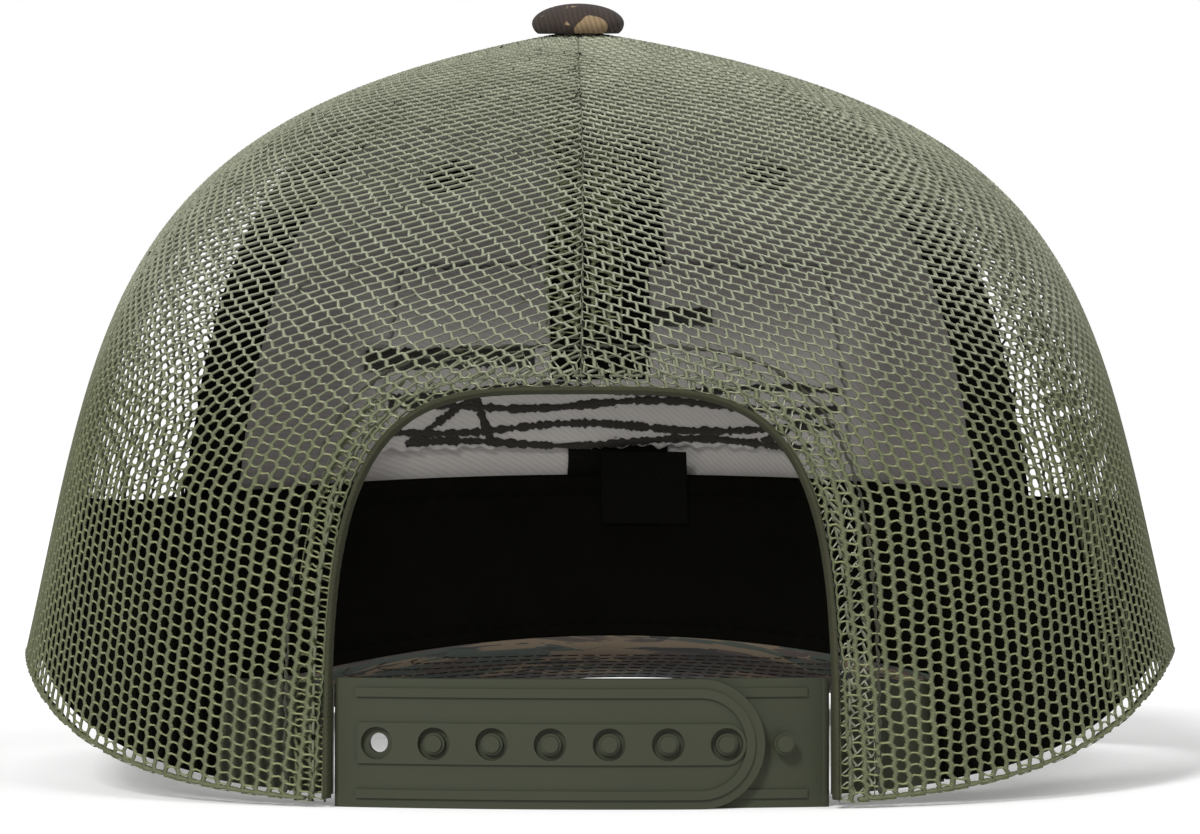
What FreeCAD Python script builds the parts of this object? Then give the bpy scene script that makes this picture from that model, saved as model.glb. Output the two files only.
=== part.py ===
"""Six-panel mesh-back cap with a snap closure, one solid per sewn or moulded piece.

Cap frame: origin in the middle of the head opening, +Y to the visor, +X to the wearer's right as
seen from behind, +Z to the button.  rest_pitch and rest_lift then set the cap down on a table.
The two snap straps stand square to the table, so they are drawn in the table frame.
"""
import FreeCAD
import Part
import Sketcher
import math
import os

os.makedirs("parts", exist_ok=True)
doc = FreeCAD.newDocument("mesh_cap")
Vec = FreeCAD.Vector

VALUES = [
    # crown plan and height
    ("crown_half_width", 98.0), ("crown_half_length", 92.5), ("crown_length_shift", 2.5),
    ("plan_power", 2.2), ("plan_power_shift", 0.12), ("crown_height", 113.6),
    # meridian: lean of the lower wall, its length, reach of the top, slope of the top
    ("lean_side", 0.272), ("lean_front", 0.08), ("lean_back", 0.10),
    ("wall_side", 65.4), ("wall_front", 74.0), ("wall_back", 52.0),
    ("reach_side", 0.90), ("reach_front", 0.86), ("reach_back", 0.86),
    ("top_slope", 0.161), ("top_hole_radius", 3.0), ("top_sideways", -3.4), ("sideways_power", 8.0),
    # lower edge: it rides on the visor in front and arches over each ear
    ("ear_arch", 12.5), ("ear_azimuth", 102.0), ("ear_width", 27.5),
    ("visor_hold_end", 50.0), ("visor_blend_end", 75.0),
    # seams, in degrees from +X
    ("seam_front_right", 39.0), ("seam_front_left", 143.0),
    ("seam_rear_right", -30.0), ("seam_rear_left", 199.0), ("seam_gap", 0.02),
    # cloth thicknesses and the depths of the layers below the outer face
    ("twill_thick", 0.8), ("mesh_thick", 0.9), ("buckram_top", 0.85), ("buckram_bottom", 1.55),
    ("tape_top", 1.62), ("tape_bottom", 2.10), ("allowance_top", 1.05), ("allowance_bottom", 1.55),
    ("band_back_top", 2.35), ("band_foam_top", 2.90), ("band_cover_top", 3.85),
    ("band_cover_bottom", 4.40), ("layer_gap", 0.02), ("edge_gap", 0.15),
    ("front_top_radius", 3.4), ("centre_tape_top", 10.5), ("side_tape_top", 20.0),
    ("allowance_top_radius", 13.0),
    # tapes, hems, sweatband
    ("centre_tape_width", 19.0), ("side_tape_width", 14.0), ("allowance_width", 12.0),
    ("hem_width", 1.6), ("hem_end", 44.5), ("hem_seam_gap", 0.6), ("hem_clearance", 1.0),
    ("band_top", 31.0), ("band_follow", 0.56), ("band_end", 58.5),
    ("band_drop", 3.0), ("band_raise", 1.6),
    # rear opening, a superellipse
    ("opening_half_width", 38.0), ("opening_height", 61.0), ("opening_power", 3.8),
    ("binding_width", 0.8), ("binding_out", -0.30), ("binding_in", 1.90), ("facing_width", 5.5),
    ("facing_clearance", 1.8), ("patch_sweep", 33.0), ("facing_patch_top", 72.0),
    ("binding_patch_top", 66.0),
    # visor
    ("visor_radius", 206.0), ("visor_slope", 14.1), ("visor_root_y", 93.0), ("visor_root_z", -0.4),
    ("visor_under_thick", 0.8), ("visor_board_thick", 2.2), ("visor_top_thick", 0.8),
    ("visor_edge_wall", 0.8), ("visor_tuck", 2.2), ("visor_tip", 176.0), ("visor_horn", 41.0),
    ("visor_side_x", 88.0), ("visor_side_y", 98.0), ("visor_corner_x", 70.0),
    ("visor_horn_out", 3.4), ("visor_horn_back", 2.6), ("slab_width", 240.0),
    ("slab_length", 160.0), ("slab_back", 60.0), ("slab_low", 45.0), ("slab_height", 60.0),
    # button
    ("button_radius", 7.6), ("button_rise", 3.3), ("button_wall", 0.5), ("button_centre", 0.95),
    ("button_cut", 28.0), ("stem_radius", 1.6), ("stem_top", 2.8), ("washer_radius", 6.0),
    ("washer_top", -3.3), ("washer_bottom", -4.1),
    # eyelets
    ("eyelet_azimuth", 64.5), ("eyelet_height", 89.0), ("eyelet_hole", 1.9), ("eyelet_barrel", 3.0),
    ("eyelet_flange", 4.7), ("eyelet_proud", 0.60), ("eyelet_depth", 2.45), ("eyelet_fit", 0.1),
    ("eyelet_seat_out", 0.08), ("eyelet_seat_in", 0.4),
    # motif and label
    ("motif_top", -0.80), ("motif_bottom", -0.08), ("motif_sweep", 40.0),
    ("motif_patch_low", 26.0), ("motif_patch_high", 86.0), ("backing_top", 2.15), ("backing_bottom", 2.35),
    ("backing_sweep", 29.0), ("backing_low", 36.0), ("backing_high", 72.0),
    ("label_top", 4.45), ("label_bottom", 4.85), ("label_width", 17.0), ("label_x", 5.5),
    ("label_low", 22.0), ("label_high", 36.0),
    # snap straps, in the table frame
    ("closure_radius", 157.8), ("closure_centre", 68.3), ("strap_height", 19.0),
    ("strap_thick", 1.6), ("outer_depth", 2.3), ("inner_depth", 4.45), ("hinge_x", 35.6),
    ("rib_inset", 1.4), ("rib_width", 1.3), ("rib_rise", 0.45), ("peg_rib_rise", 0.4),
    ("hole_tip", 27.0), ("peg_tip", 26.0), ("strip_half", 3.0), ("strip_left", 33.0),
    ("strip_right", 24.25), ("strip_start", -12.2), ("strip_sweep", 24.0), ("strap_reach", 13.0),
    ("strap_root", 40.0), ("rib_trim", 1.0), ("drill_start", 0.5), ("drill_end", 4.5),
    ("snap_pitch", 3.17), ("first_hole", -11.12), ("snap_count", 7), ("hole_radius", 1.45),
    ("recess_radius", 2.4), ("recess_depth", 1.05), ("stem_peg_radius", 1.25),
    ("peg_head_radius", 1.6), ("peg_head_start", 1.65), ("peg_top", 2.85), ("peg_round", 0.5),
    ("knuckle_radius", 0.85), ("knuckle_gap", 0.25), ("tab_end", 56.0),
    ("tab_low", 1.2), ("tab_high", 17.5), ("tab_outer_depth", 2.35), ("tab_inner_depth", 4.5),
    # resting attitude on the table
    ("rest_pitch", 5.8), ("rest_lift", 9.15), ("rest_shift", -44.69),
]

sheet = doc.addObject("Spreadsheet::Sheet", "dims")
for row, (name, value) in enumerate(VALUES, 1):
    sheet.set("A%d" % row, name)
    sheet.set("B%d" % row, str(value))
    sheet.setAlias("B%d" % row, name)
doc.recompute()
D = {name: float(sheet.get(name)) for name, _ in VALUES}

REST = FreeCAD.Placement(Vec(0, D["rest_shift"], D["rest_lift"]),
                         FreeCAD.Rotation(Vec(1, 0, 0), D["rest_pitch"]))
LEVEL = FreeCAD.Placement(Vec(0, D["rest_shift"], 0), FreeCAD.Rotation())
made = []


# ---------------------------------------------------------------- crown surface
def by_azimuth(side, front, back, s):
    """A value that is `side` at the ears, `front` at the visor and `back` at the closure."""
    return side + (front - back) / 2 * s + ((front + back) / 2 - side) * s * s


def meridian(phi):
    """Control points (radius, height) of the crown's profile at an azimuth."""
    c = math.cos(phi)
    s = math.sin(phi)
    power = D["plan_power"] - D["plan_power_shift"] * s
    length = D["crown_half_length"] + D["crown_length_shift"] * s
    base = (abs(c / D["crown_half_width"]) ** power + abs(s / length) ** power) ** (-1 / power)
    lean = by_azimuth(D["lean_side"], D["lean_front"], D["lean_back"], s)
    wall = by_azimuth(D["wall_side"], D["wall_front"], D["wall_back"], s)
    reach = by_azimuth(D["reach_side"], D["reach_front"], D["reach_back"], s) * base
    top = D["crown_height"]
    return [(base, 0.0), (base - lean * wall, wall), (reach, top - D["top_slope"] * reach), (0.0, top)]


def profile_at(phi, v):
    points = meridian(phi)
    weights = [(1 - v) ** 3, 3 * v * (1 - v) ** 2, 3 * v * v * (1 - v), v ** 3]
    radius = sum(w * p[0] for w, p in zip(weights, points))
    height = sum(w * p[1] for w, p in zip(weights, points))
    return radius, height


def face_point(phi, v):
    """Point on the outer face; the soft top leans a little to one side."""
    radius, height = profile_at(phi, v)
    sideways = D["top_sideways"] * (max(height, 0.0) / D["crown_height"]) ** D["sideways_power"]
    return Vec(radius * math.cos(phi) + sideways, radius * math.sin(phi), height)


def crown_point(phi, v, depth=0.0):
    """Point at `depth` below the outer face of the crown."""
    here = face_point(phi, v)
    if depth == 0.0:
        return here
    step = 1e-4
    along = face_point(phi, v + step) - here
    across = face_point(phi + step, v) - here
    normal = across.cross(along).normalize()
    return here - normal * depth


def bisect(function, low, high):
    """Root of an increasing function."""
    for _ in range(48):
        middle = (low + high) / 2
        if function(middle) < 0:
            low = middle
        else:
            high = middle
    return (low + high) / 2


def v_at_height(phi, height):
    return bisect(lambda v: profile_at(phi, v)[1] - height, -0.3, 0.97)


def v_at_top(phi, radius):
    return bisect(lambda v: radius - profile_at(phi, v)[0], 0.5, 1.0)


# ---------------------------------------------------------------- lower edge
def visor_level(x, y, rise):
    """Height of the visor surface that lies `rise` above its underside."""
    slope = math.radians(D["visor_slope"])
    bend = math.sqrt((D["visor_radius"] + rise) ** 2 - x * x) - D["visor_radius"]
    return D["visor_root_z"] - (y - D["visor_root_y"]) * math.tan(slope) + bend / math.cos(slope)


VISOR_THICK = D["visor_under_thick"] + D["visor_board_thick"] + D["visor_top_thick"]


def from_front(phi):
    """Degrees away from the front centre."""
    return abs((math.degrees(phi) - 90 + 180) % 360 - 180)


def visor_share(phi):
    """1 where the visor holds the edge, 0 where the edge is free."""
    t = (from_front(phi) - D["visor_hold_end"]) / (D["visor_blend_end"] - D["visor_hold_end"])
    t = min(max(t, 0.0), 1.0)
    return 1 - t * t * (3 - 2 * t)


def ear_rise(phi):
    return D["ear_arch"] * math.exp(-((from_front(phi) - D["ear_azimuth"]) / D["ear_width"]) ** 2)


def edge_height(phi, depth=0.0):
    """Height of the crown's lower edge for a layer that reaches `depth` inwards."""
    base = meridian(phi)[0][0] - depth
    share = visor_share(phi)
    on_visor = visor_level(base * math.cos(phi), base * math.sin(phi), VISOR_THICK) + D["edge_gap"]
    return share * on_visor + (1 - share) * ear_rise(phi)


def band_low(phi):
    share = visor_share(phi)
    return edge_height(phi) - share * D["band_drop"] + (1 - share) * D["band_raise"]


def band_high(phi):
    return D["band_top"] + D["band_follow"] * ear_rise(phi)


# ---------------------------------------------------------------- cloth pieces
def spline_face(grid):
    surface = Part.BSplineSurface()
    surface.interpolate(grid)
    return surface


def cloth(place, across, up, outer, inner):
    """Solid between two depths over a patch; place(a, b) gives (azimuth, v) for a, b in 0..1."""
    spots = [[place(i / across, j / up) for j in range(up + 1)] for i in range(across + 1)]
    skins = [spline_face([[crown_point(p, v, depth) for p, v in line] for line in spots])
             for depth in (outer, inner)]
    faces = [skin.toShape() for skin in skins]
    limits = skins[0].bounds()
    for pick, values in (("uIso", limits[:2]), ("vIso", limits[2:])):
        for k in (0, 1):
            pair = []
            for skin in skins:
                box = skin.bounds()
                at = (box[:2] if pick == "uIso" else box[2:])[k]
                pair.append(getattr(skin, pick)(at).toShape())
            faces.append(Part.makeRuledSurface(pair[0], pair[1]))
    shell = Part.Shell(faces)
    shell.sewShape()
    solid = Part.Solid(shell)
    if solid.Volume < 0:
        solid.reverse()
    return solid


def panel(start, end, outer, inner, top_radius):
    """A gore between two seams, from the lower edge to the button."""
    gap = math.radians(D["seam_gap"])
    first = math.radians(start) + gap
    last = math.radians(end) - gap

    def place(a, b):
        phi = first + (last - first) * a
        v_low = v_at_height(phi, edge_height(phi, inner))
        return phi, v_low + (v_at_top(phi, top_radius) - v_low) * b

    return cloth(place, int((end - start) / 4), 16, outer, inner)


def tape(azimuth, width, outer, inner, low, top_radius):
    """A strip of constant width along a seam."""
    centre = math.radians(azimuth)

    def place(a, b):
        v_low = v_at_height(centre, low(centre))
        v = v_low + (v_at_top(centre, top_radius) - v_low) * b
        return centre + (a - 0.5) * width / profile_at(centre, v)[0], v

    return cloth(place, 6, 18, outer, inner)


def strip(start, end, outer, inner, low, high, across, up=4):
    """A band round the crown between two heights."""
    first = math.radians(start)
    last = math.radians(end)

    def place(a, b):
        phi = first + (last - first) * a
        v_low = v_at_height(phi, low(phi))
        return phi, v_low + (v_at_height(phi, high(phi)) - v_low) * b

    return cloth(place, across, up, outer, inner)


def azimuth_at_x(x):
    """Azimuth, in degrees, of the rear base point at a distance x from the middle."""
    offset = bisect(lambda a: meridian(math.radians(-90 + a))[0][0] * math.sin(math.radians(a)) - x, 0, 80)
    return -90 + offset


def arch_prism(grow):
    """Solid of the rear opening, grown by a margin, from below the cap to behind it."""
    half = D["opening_half_width"] + grow
    height = D["opening_height"] + grow
    points = []
    count = 36
    for k in range(count + 1):
        angle = math.pi * k / count
        power = 2 / D["opening_power"]
        x = half * math.copysign(abs(math.cos(angle)) ** power, math.cos(angle))
        points.append(Vec(x, 0, height * abs(math.sin(angle)) ** power))
    curve = Part.BSplineCurve()
    curve.interpolate(points)
    right = Vec(half, 0, -20)
    left = Vec(-half, 0, -20)
    edges = [curve.toShape(), Part.makeLine(points[-1], left), Part.makeLine(left, right),
             Part.makeLine(right, points[0])]
    face = Part.Face(Part.Wire(Part.__sortEdges__(edges)))
    return face.extrude(Vec(0, -140, 0))


def add(label, shape, placement=REST):
    piece = doc.addObject("Part::Feature", label)
    piece.Label = label
    piece.Shape = shape
    piece.Placement = placement
    made.append(piece)
    return piece


def cut_away(shape, tool):
    """Cut that raises when the tool takes nothing off."""
    left = shape.cut(tool)
    if left.Volume > shape.Volume - 0.1:
        raise RuntimeError("a cut removed nothing")
    return left


def radial_cylinder(azimuth, height, radius, reach):
    """Cylinder square to the crown at a point, from outside to inside."""
    phi = math.radians(azimuth)
    v = v_at_height(phi, height)
    outside = crown_point(phi, v, -reach)
    inside = crown_point(phi, v, reach)
    return Part.makeCylinder(radius, 2 * reach, outside, inside - outside)


SEAMS = {"right": D["seam_front_right"], "left": D["seam_front_left"]}
EYELETS = {"right": D["eyelet_azimuth"], "left": 180 - D["eyelet_azimuth"]}

# front panels and the stiff buckram behind them
for side in ("left", "right"):
    span = (90.0, SEAMS["left"]) if side == "left" else (SEAMS["right"], 90.0)
    hole = radial_cylinder(EYELETS[side], D["eyelet_height"], D["eyelet_barrel"] + D["eyelet_fit"], 6)
    front = panel(*span, 0.0, D["twill_thick"], D["top_hole_radius"])
    add("front_panel_" + side, cut_away(front, hole))
    lining = panel(*span, D["buckram_top"], D["buckram_bottom"], D["front_top_radius"])
    add("buckram_" + side, cut_away(lining, hole))

# mesh panels
mesh_layer = (0.0, D["mesh_thick"], D["top_hole_radius"])
add("side_mesh_left", panel(SEAMS["left"], D["seam_rear_left"], *mesh_layer))
add("side_mesh_right", panel(D["seam_rear_right"], SEAMS["right"], *mesh_layer))
opening = arch_prism(0.0)
add("rear_mesh_left", cut_away(panel(D["seam_rear_left"], 270.0, *mesh_layer), opening))
add("rear_mesh_right", cut_away(panel(-90.0, D["seam_rear_right"], *mesh_layer), opening))

# tapes over the front seams, folded allowances behind the mesh seams
tape_layer = (D["tape_top"], D["tape_bottom"])
allowance_layer = (D["allowance_top"], D["allowance_bottom"])


def above_edge(phi):
    return edge_height(phi, D["tape_bottom"])


def above_hem(phi):
    return edge_height(phi) + D["hem_width"] + D["hem_clearance"]


def above_opening(phi):
    return D["opening_height"] + D["facing_width"] + D["facing_clearance"]


add("seam_tape_front_centre", tape(90.0, D["centre_tape_width"], *tape_layer, above_edge,
                                   D["centre_tape_top"]))
for side in ("left", "right"):
    add("seam_tape_front_" + side, tape(SEAMS[side], D["side_tape_width"], *tape_layer, above_edge,
                                        D["side_tape_top"]))
for label, azimuth, low in (("left", D["seam_rear_left"], above_hem),
                            ("right", D["seam_rear_right"], above_hem),
                            ("centre", -90.0, above_opening)):
    add("seam_rear_" + label, tape(azimuth, D["allowance_width"], *allowance_layer, low,
                                   D["allowance_top_radius"]))

# hems of the mesh, from the front seam tape to the rear opening
hem_right = azimuth_at_x(D["hem_end"])


def hem_low(phi):
    return edge_height(phi, D["allowance_bottom"])


def hem_high(phi):
    return hem_low(phi) + D["hem_width"]


add("hem_right", strip(hem_right, SEAMS["right"] - D["hem_seam_gap"], *allowance_layer, hem_low, hem_high,
                       36))
add("hem_left", strip(SEAMS["left"] + D["hem_seam_gap"], 180 - hem_right, *allowance_layer,
                      hem_low, hem_high, 36))

# folded facing and bound edge of the rear opening


def opening_patch(outer, inner, high):
    return strip(-90 - D["patch_sweep"], -90 + D["patch_sweep"], outer, inner,
                 lambda phi: edge_height(phi) + 0.1, lambda phi: high, 20, up=12)


facing = opening_patch(D["allowance_top"], D["allowance_bottom"], D["facing_patch_top"])
facing = facing.common(arch_prism(D["facing_width"]))
add("opening_facing", cut_away(facing, arch_prism(D["layer_gap"])))
binding = opening_patch(D["binding_out"], D["binding_in"], D["binding_patch_top"])
binding = binding.common(arch_prism(-D["layer_gap"]))
add("opening_binding", cut_away(binding, arch_prism(-D["binding_width"])))

# sweatband in three layers
band_start = azimuth_at_x(D["band_end"])
for label, outer, inner in (("sweatband_backing", D["band_back_top"], D["band_foam_top"]),
                            ("sweatband_foam", D["band_foam_top"], D["band_cover_top"]),
                            ("sweatband_cover", D["band_cover_top"], D["band_cover_bottom"])):
    add(label, strip(band_start, 180 - band_start, outer + D["layer_gap"], inner - D["layer_gap"],
                     band_low, band_high, 56))


# ---------------------------------------------------------------- visor
def visor_slab(low, high):
    """Curved slab between two rises over the visor's underside."""
    centre = Vec(0, 0, -D["visor_radius"])
    length = D["slab_length"]
    half = D["slab_width"] / 2
    outer = Part.makeCylinder(D["visor_radius"] + high, length, centre, Vec(0, 1, 0))
    inner = Part.makeCylinder(D["visor_radius"] + low, length, centre, Vec(0, 1, 0))
    slab = outer.cut(inner)
    slab = slab.common(Part.makeBox(2 * half, length, D["slab_height"], Vec(-half, 0, -D["slab_low"])))
    slab.translate(Vec(0, -D["slab_back"], 0))
    slab.rotate(Vec(0, 0, 0), Vec(1, 0, 0), -D["visor_slope"])
    slab.translate(Vec(0, D["visor_root_y"], D["visor_root_z"]))
    return slab


def visor_outline(shrink):
    """Upright prism of the visor's plan, drawn in by a margin on the free edge."""
    start = math.radians(D["visor_horn"])
    inner = []
    for k in range(25):
        phi = start + (math.pi - 2 * start) * k / 24
        base = meridian(phi)[0][0]
        level = visor_level(base * math.cos(phi), base * math.sin(phi), 0.0)
        spot = crown_point(phi, v_at_height(phi, level), D["visor_tuck"])
        inner.append(Vec(spot.x, spot.y, -60))
    tip = D["visor_tip"] - shrink
    root = inner[0] + Vec(D["visor_horn_out"] - shrink, shrink - D["visor_horn_back"], 0)
    poles = [root, Vec(D["visor_side_x"] - shrink, D["visor_side_y"], -60),
             Vec(D["visor_corner_x"] - shrink, tip, -60), Vec(0, tip, -60)]
    right = Part.BezierCurve()
    right.setPoles(poles)
    left = Part.BezierCurve()
    left.setPoles([Vec(-p.x, p.y, p.z) for p in poles])
    curve = Part.BSplineCurve()
    curve.interpolate(inner)
    edges = [curve.toShape(), right.toShape(), left.toShape(),
             Part.makeLine(inner[0], poles[0]),
             Part.makeLine(inner[-1], Vec(-poles[0].x, poles[0].y, poles[0].z))]
    face = Part.Face(Part.Wire(Part.__sortEdges__(edges)))
    return face.extrude(Vec(0, 0, 120))


under_top = D["visor_under_thick"]
board_top = under_top + D["visor_board_thick"]
board_middle = (under_top + board_top) / 2
gap = D["layer_gap"]
full_plan = visor_outline(0.0)
board_plan = visor_outline(D["visor_edge_wall"])
board = visor_slab(under_top + gap, board_top - gap).common(board_plan)
pocket = visor_slab(under_top, board_top).common(visor_outline(D["visor_edge_wall"] - gap))
add("visor_board", board)
add("visor_top_cover", visor_slab(board_middle + gap, VISOR_THICK).common(full_plan).cut(pocket))
add("visor_under_cover", visor_slab(0.0, board_middle).common(full_plan).cut(pocket))

# ---------------------------------------------------------------- motif and label


def ridge_prism():
    """A plain three-peak ridge, seen from the front."""
    corners = [(-36, 40), (-30, 40), (-17, 57), (-11, 51), (2, 70), (14, 53), (19, 58), (32, 40), (38, 40),
               (20, 64), (14, 59), (2, 77), (-12, 58), (-17, 63)]
    wire = Part.makePolygon([Vec(x, 40, z) for x, z in corners + corners[:1]])
    return Part.Face(wire).extrude(Vec(0, 90, 0))


def bar_prism(low, high, half):
    return Part.makeBox(2 * half, 90, high - low, Vec(-half, 40, low))


motif_skin = strip(90 - D["motif_sweep"], 90 + D["motif_sweep"], D["motif_top"], D["motif_bottom"],
                   lambda phi: D["motif_patch_low"], lambda phi: D["motif_patch_high"], 20, up=12)
motif = [motif_skin.common(ridge_prism())]
for low, high, half in ((33.0, 35.4, 38.0), (28.6, 31.0, 30.0)):
    motif.append(motif_skin.common(bar_prism(low, high, half)))
add("front_embroidery", Part.makeCompound([solid for shape in motif for solid in shape.Solids]))
add("embroidery_backing", strip(90 - D["backing_sweep"], 90 + D["backing_sweep"], D["backing_top"],
                                D["backing_bottom"], lambda phi: D["backing_low"],
                                lambda phi: D["backing_high"], 10))
label_half = math.degrees(D["label_width"] / 2 / D["crown_half_length"])
label_middle = 90 - math.degrees(D["label_x"] / D["crown_half_length"])
add("size_label", strip(label_middle - label_half, label_middle + label_half, D["label_top"],
                        D["label_bottom"], lambda phi: D["label_low"], lambda phi: D["label_high"], 4))


# ---------------------------------------------------------------- parametric pieces
def bind(thing, **formulas):
    for name, formula in formulas.items():
        thing.setExpression(name.replace("_dot_", "."), formula)
    return thing


def primitive(kind, name, **formulas):
    return bind(doc.addObject("Part::" + kind, name), **formulas)


def boolean(kind, name, base, tool):
    cut = doc.addObject("Part::" + kind, name)
    cut.Base = base
    cut.Tool = tool
    return cut


def fuse(name, shapes):
    joined = doc.addObject("Part::MultiFuse", name)
    joined.Shapes = shapes
    return joined


def finish(label, thing, placement):
    thing.Label = label
    thing.Placement = placement.multiply(thing.Placement)
    made.append(thing)


def plane_of(body, role):
    return next(f for f in body.Origin.OriginFeatures if f.Role == role)


def polygon_sketch(body, name, corners):
    """Closed polygon on the XZ plane; each corner is a pair of formulas in sheet values."""
    sketch = body.newObject("Sketcher::SketchObject", name)
    sketch.AttachmentSupport = [(plane_of(body, "XZ_Plane"), "")]
    sketch.MapMode = "FlatFace"
    numbers = [tuple(eval_formula(f) for f in pair) for pair in corners]
    count = len(corners)
    for k in range(count):
        a = Vec(numbers[k][0], numbers[k][1], 0)
        b = Vec(numbers[(k + 1) % count][0], numbers[(k + 1) % count][1], 0)
        sketch.addGeometry(Part.LineSegment(a, b), False)
    for k in range(count):
        sketch.addConstraint(Sketcher.Constraint("Coincident", k, 2, (k + 1) % count, 1))
    for k in range(count):
        for axis, kind in ((0, "DistanceX"), (1, "DistanceY")):
            value = numbers[k][axis]
            if abs(value) < 1e-9:
                sketch.addConstraint(Sketcher.Constraint("PointOnObject", k, 1, -2 + axis))
                continue
            index = sketch.addConstraint(Sketcher.Constraint(kind, -1, 1, k, 1, value))
            sketch.setExpression("Constraints[%d]" % index, corners[k][axis])
    return sketch


def eval_formula(formula):
    """Value of a sum of signed sheet names and numbers, such as '-dims.a + dims.b - 0.2'."""
    total = 0.0
    sign = 1.0
    for token in formula.replace("-", " - ").replace("+", " + ").split():
        if token in "+-":
            sign = -1.0 if token == "-" else 1.0
            continue
        total += sign * (D[token[5:]] if token.startswith("dims.") else float(token))
        sign = 1.0
    return total


def revolved(label, corners, placement):
    body = doc.addObject("PartDesign::Body", label)
    sketch = polygon_sketch(body, label + "_profile", corners)
    turn = body.newObject("PartDesign::Revolution", label + "_turn")
    turn.Profile = sketch
    turn.ReferenceAxis = (sketch, ["V_Axis"])
    turn.Angle = 360
    body.Tip = turn
    finish(label, body, placement)


# button: cloth cover over a pressed shell, with a stem and washer below
APEX = REST.multiply(FreeCAD.Placement(Vec(D["top_sideways"], 0, D["crown_height"]), FreeCAD.Rotation()))


def dome(name, wall, low_angle):
    """Flat ellipsoid from a latitude upwards."""
    return primitive("Ellipsoid", name, Radius1="dims.button_rise - %s" % wall,
                     Radius2="dims.button_radius - %s" % wall,
                     Radius3="dims.button_radius - %s" % wall, Angle1=low_angle)


for label, outside, inside in (("button_cover", "0", "dims.button_wall"),
                               ("button_shell", "(dims.button_wall + dims.layer_gap)",
                                "(2 * dims.button_wall)")):
    bowl = boolean("Cut", label, dome(label + "_out", outside, "-dims.button_cut"),
                   dome(label + "_in", inside, "-90"))
    lifted = APEX.multiply(FreeCAD.Placement(Vec(0, 0, D["button_centre"]), FreeCAD.Rotation()))
    finish(label, bowl, lifted)

revolved("button_prong", [("0", "dims.washer_bottom"), ("dims.washer_radius", "dims.washer_bottom"),
                          ("dims.washer_radius", "dims.washer_top"),
                          ("dims.stem_radius", "dims.washer_top"), ("dims.stem_radius", "dims.stem_top"),
                          ("0", "dims.stem_top")], APEX)

# eyelets: barrel through the cloth with a flange on each side
for side in ("left", "right"):
    phi = math.radians(EYELETS[side])
    v = v_at_height(phi, D["eyelet_height"])
    outward = crown_point(phi, v, -1.0) - crown_point(phi, v, 0.0)
    seat = FreeCAD.Placement(crown_point(phi, v), FreeCAD.Rotation(Vec(0, 0, 1), outward))
    revolved("eyelet_" + side,
             [("dims.eyelet_hole", "dims.eyelet_proud"), ("dims.eyelet_flange", "dims.eyelet_proud"),
              ("dims.eyelet_flange", "dims.eyelet_seat_out"),
              ("dims.eyelet_barrel", "dims.eyelet_seat_out"),
              ("dims.eyelet_barrel", "-dims.buckram_bottom - dims.eyelet_seat_in"),
              ("dims.eyelet_flange", "-dims.buckram_bottom - dims.eyelet_seat_in"),
              ("dims.eyelet_flange", "-dims.eyelet_depth"), ("dims.eyelet_hole", "-dims.eyelet_depth")],
             REST.multiply(seat))


# ---------------------------------------------------------------- snap straps
AHEAD = 270.0


def sector(name, low_depth, high_depth, start, sweep):
    """Upright wall between two depths below the closure's nominal arc."""
    walls = []
    for tag, depth in (("_out", low_depth), ("_in", high_depth)):
        drum = primitive("Cylinder", name + tag, Radius="dims.closure_radius - (%s)" % depth,
                         Height="dims.strap_height", Angle="%s" % sweep)
        drum.Placement = FreeCAD.Placement(Vec(0, D["closure_centre"], 0),
                                           FreeCAD.Rotation(Vec(0, 0, 1), AHEAD + start))
        walls.append(drum)
    return boolean("Cut", name, walls[0], walls[1])


HALF_STRAP = "dims.strap_height / 2"


def tongue(name, side, tip, inset, root, half=HALF_STRAP):
    """Prism along Y of a strap's outline: square at the root, round at the tip."""
    bar = primitive("Box", name + "_bar", Width="60 mm", Height="2 * (%s - (%s))" % (half, inset),
                    Length="(%s) + (%s) - (%s)" % (root, tip, half))
    nose = primitive("Cylinder", name + "_nose", Radius="%s - (%s)" % (half, inset), Height="60 mm")
    middle = D["strap_height"] / 2
    flat = eval_formula(half) if half != HALF_STRAP else middle
    far = eval_formula(tip) - flat
    nose.Placement = FreeCAD.Placement(Vec(side * far, -60, middle), FreeCAD.Rotation(Vec(1, 0, 0), 90))
    left = -eval_formula(root) if side > 0 else -far
    low = middle - flat + eval_formula(inset)
    bar.Placement = FreeCAD.Placement(Vec(left, -120, low), FreeCAD.Rotation())
    return fuse(name, [bar, nose])


def axis_point(depth):
    """Plan position of a strap's hinge line at its mid thickness."""
    radius = D["closure_radius"] - depth - D["strap_thick"] / 2
    angle = math.asin(D["hinge_x"] / radius)
    return angle, radius, D["closure_centre"] - radius * math.cos(angle)


def upright(name, side, depth, radius_formula):
    """Cylinder on a strap's hinge line."""
    angle, radius, y = axis_point(depth)
    pin = primitive("Cylinder", name, Radius=radius_formula, Height="dims.strap_height")
    pin.Placement = FreeCAD.Placement(Vec(side * D["hinge_x"], y, 0), FreeCAD.Rotation())
    return pin


def spoke(name, angle, near_depth, far_depth, radius_formula):
    """Cylinder square to the closure arc between two depths."""
    length = eval_formula(far_depth) - eval_formula(near_depth)
    turn = math.radians(AHEAD + angle)
    out = Vec(math.cos(turn), math.sin(turn), 0)
    reach = D["closure_radius"] - eval_formula(far_depth)
    base = Vec(0, D["closure_centre"], D["strap_height"] / 2) + out * reach
    pin = primitive("Cylinder", name, Radius=radius_formula,
                    Height="(%s) - (%s)" % (far_depth, near_depth))
    pin.Placement = FreeCAD.Placement(base, FreeCAD.Rotation(Vec(0, 0, 1), out))
    return pin


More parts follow.
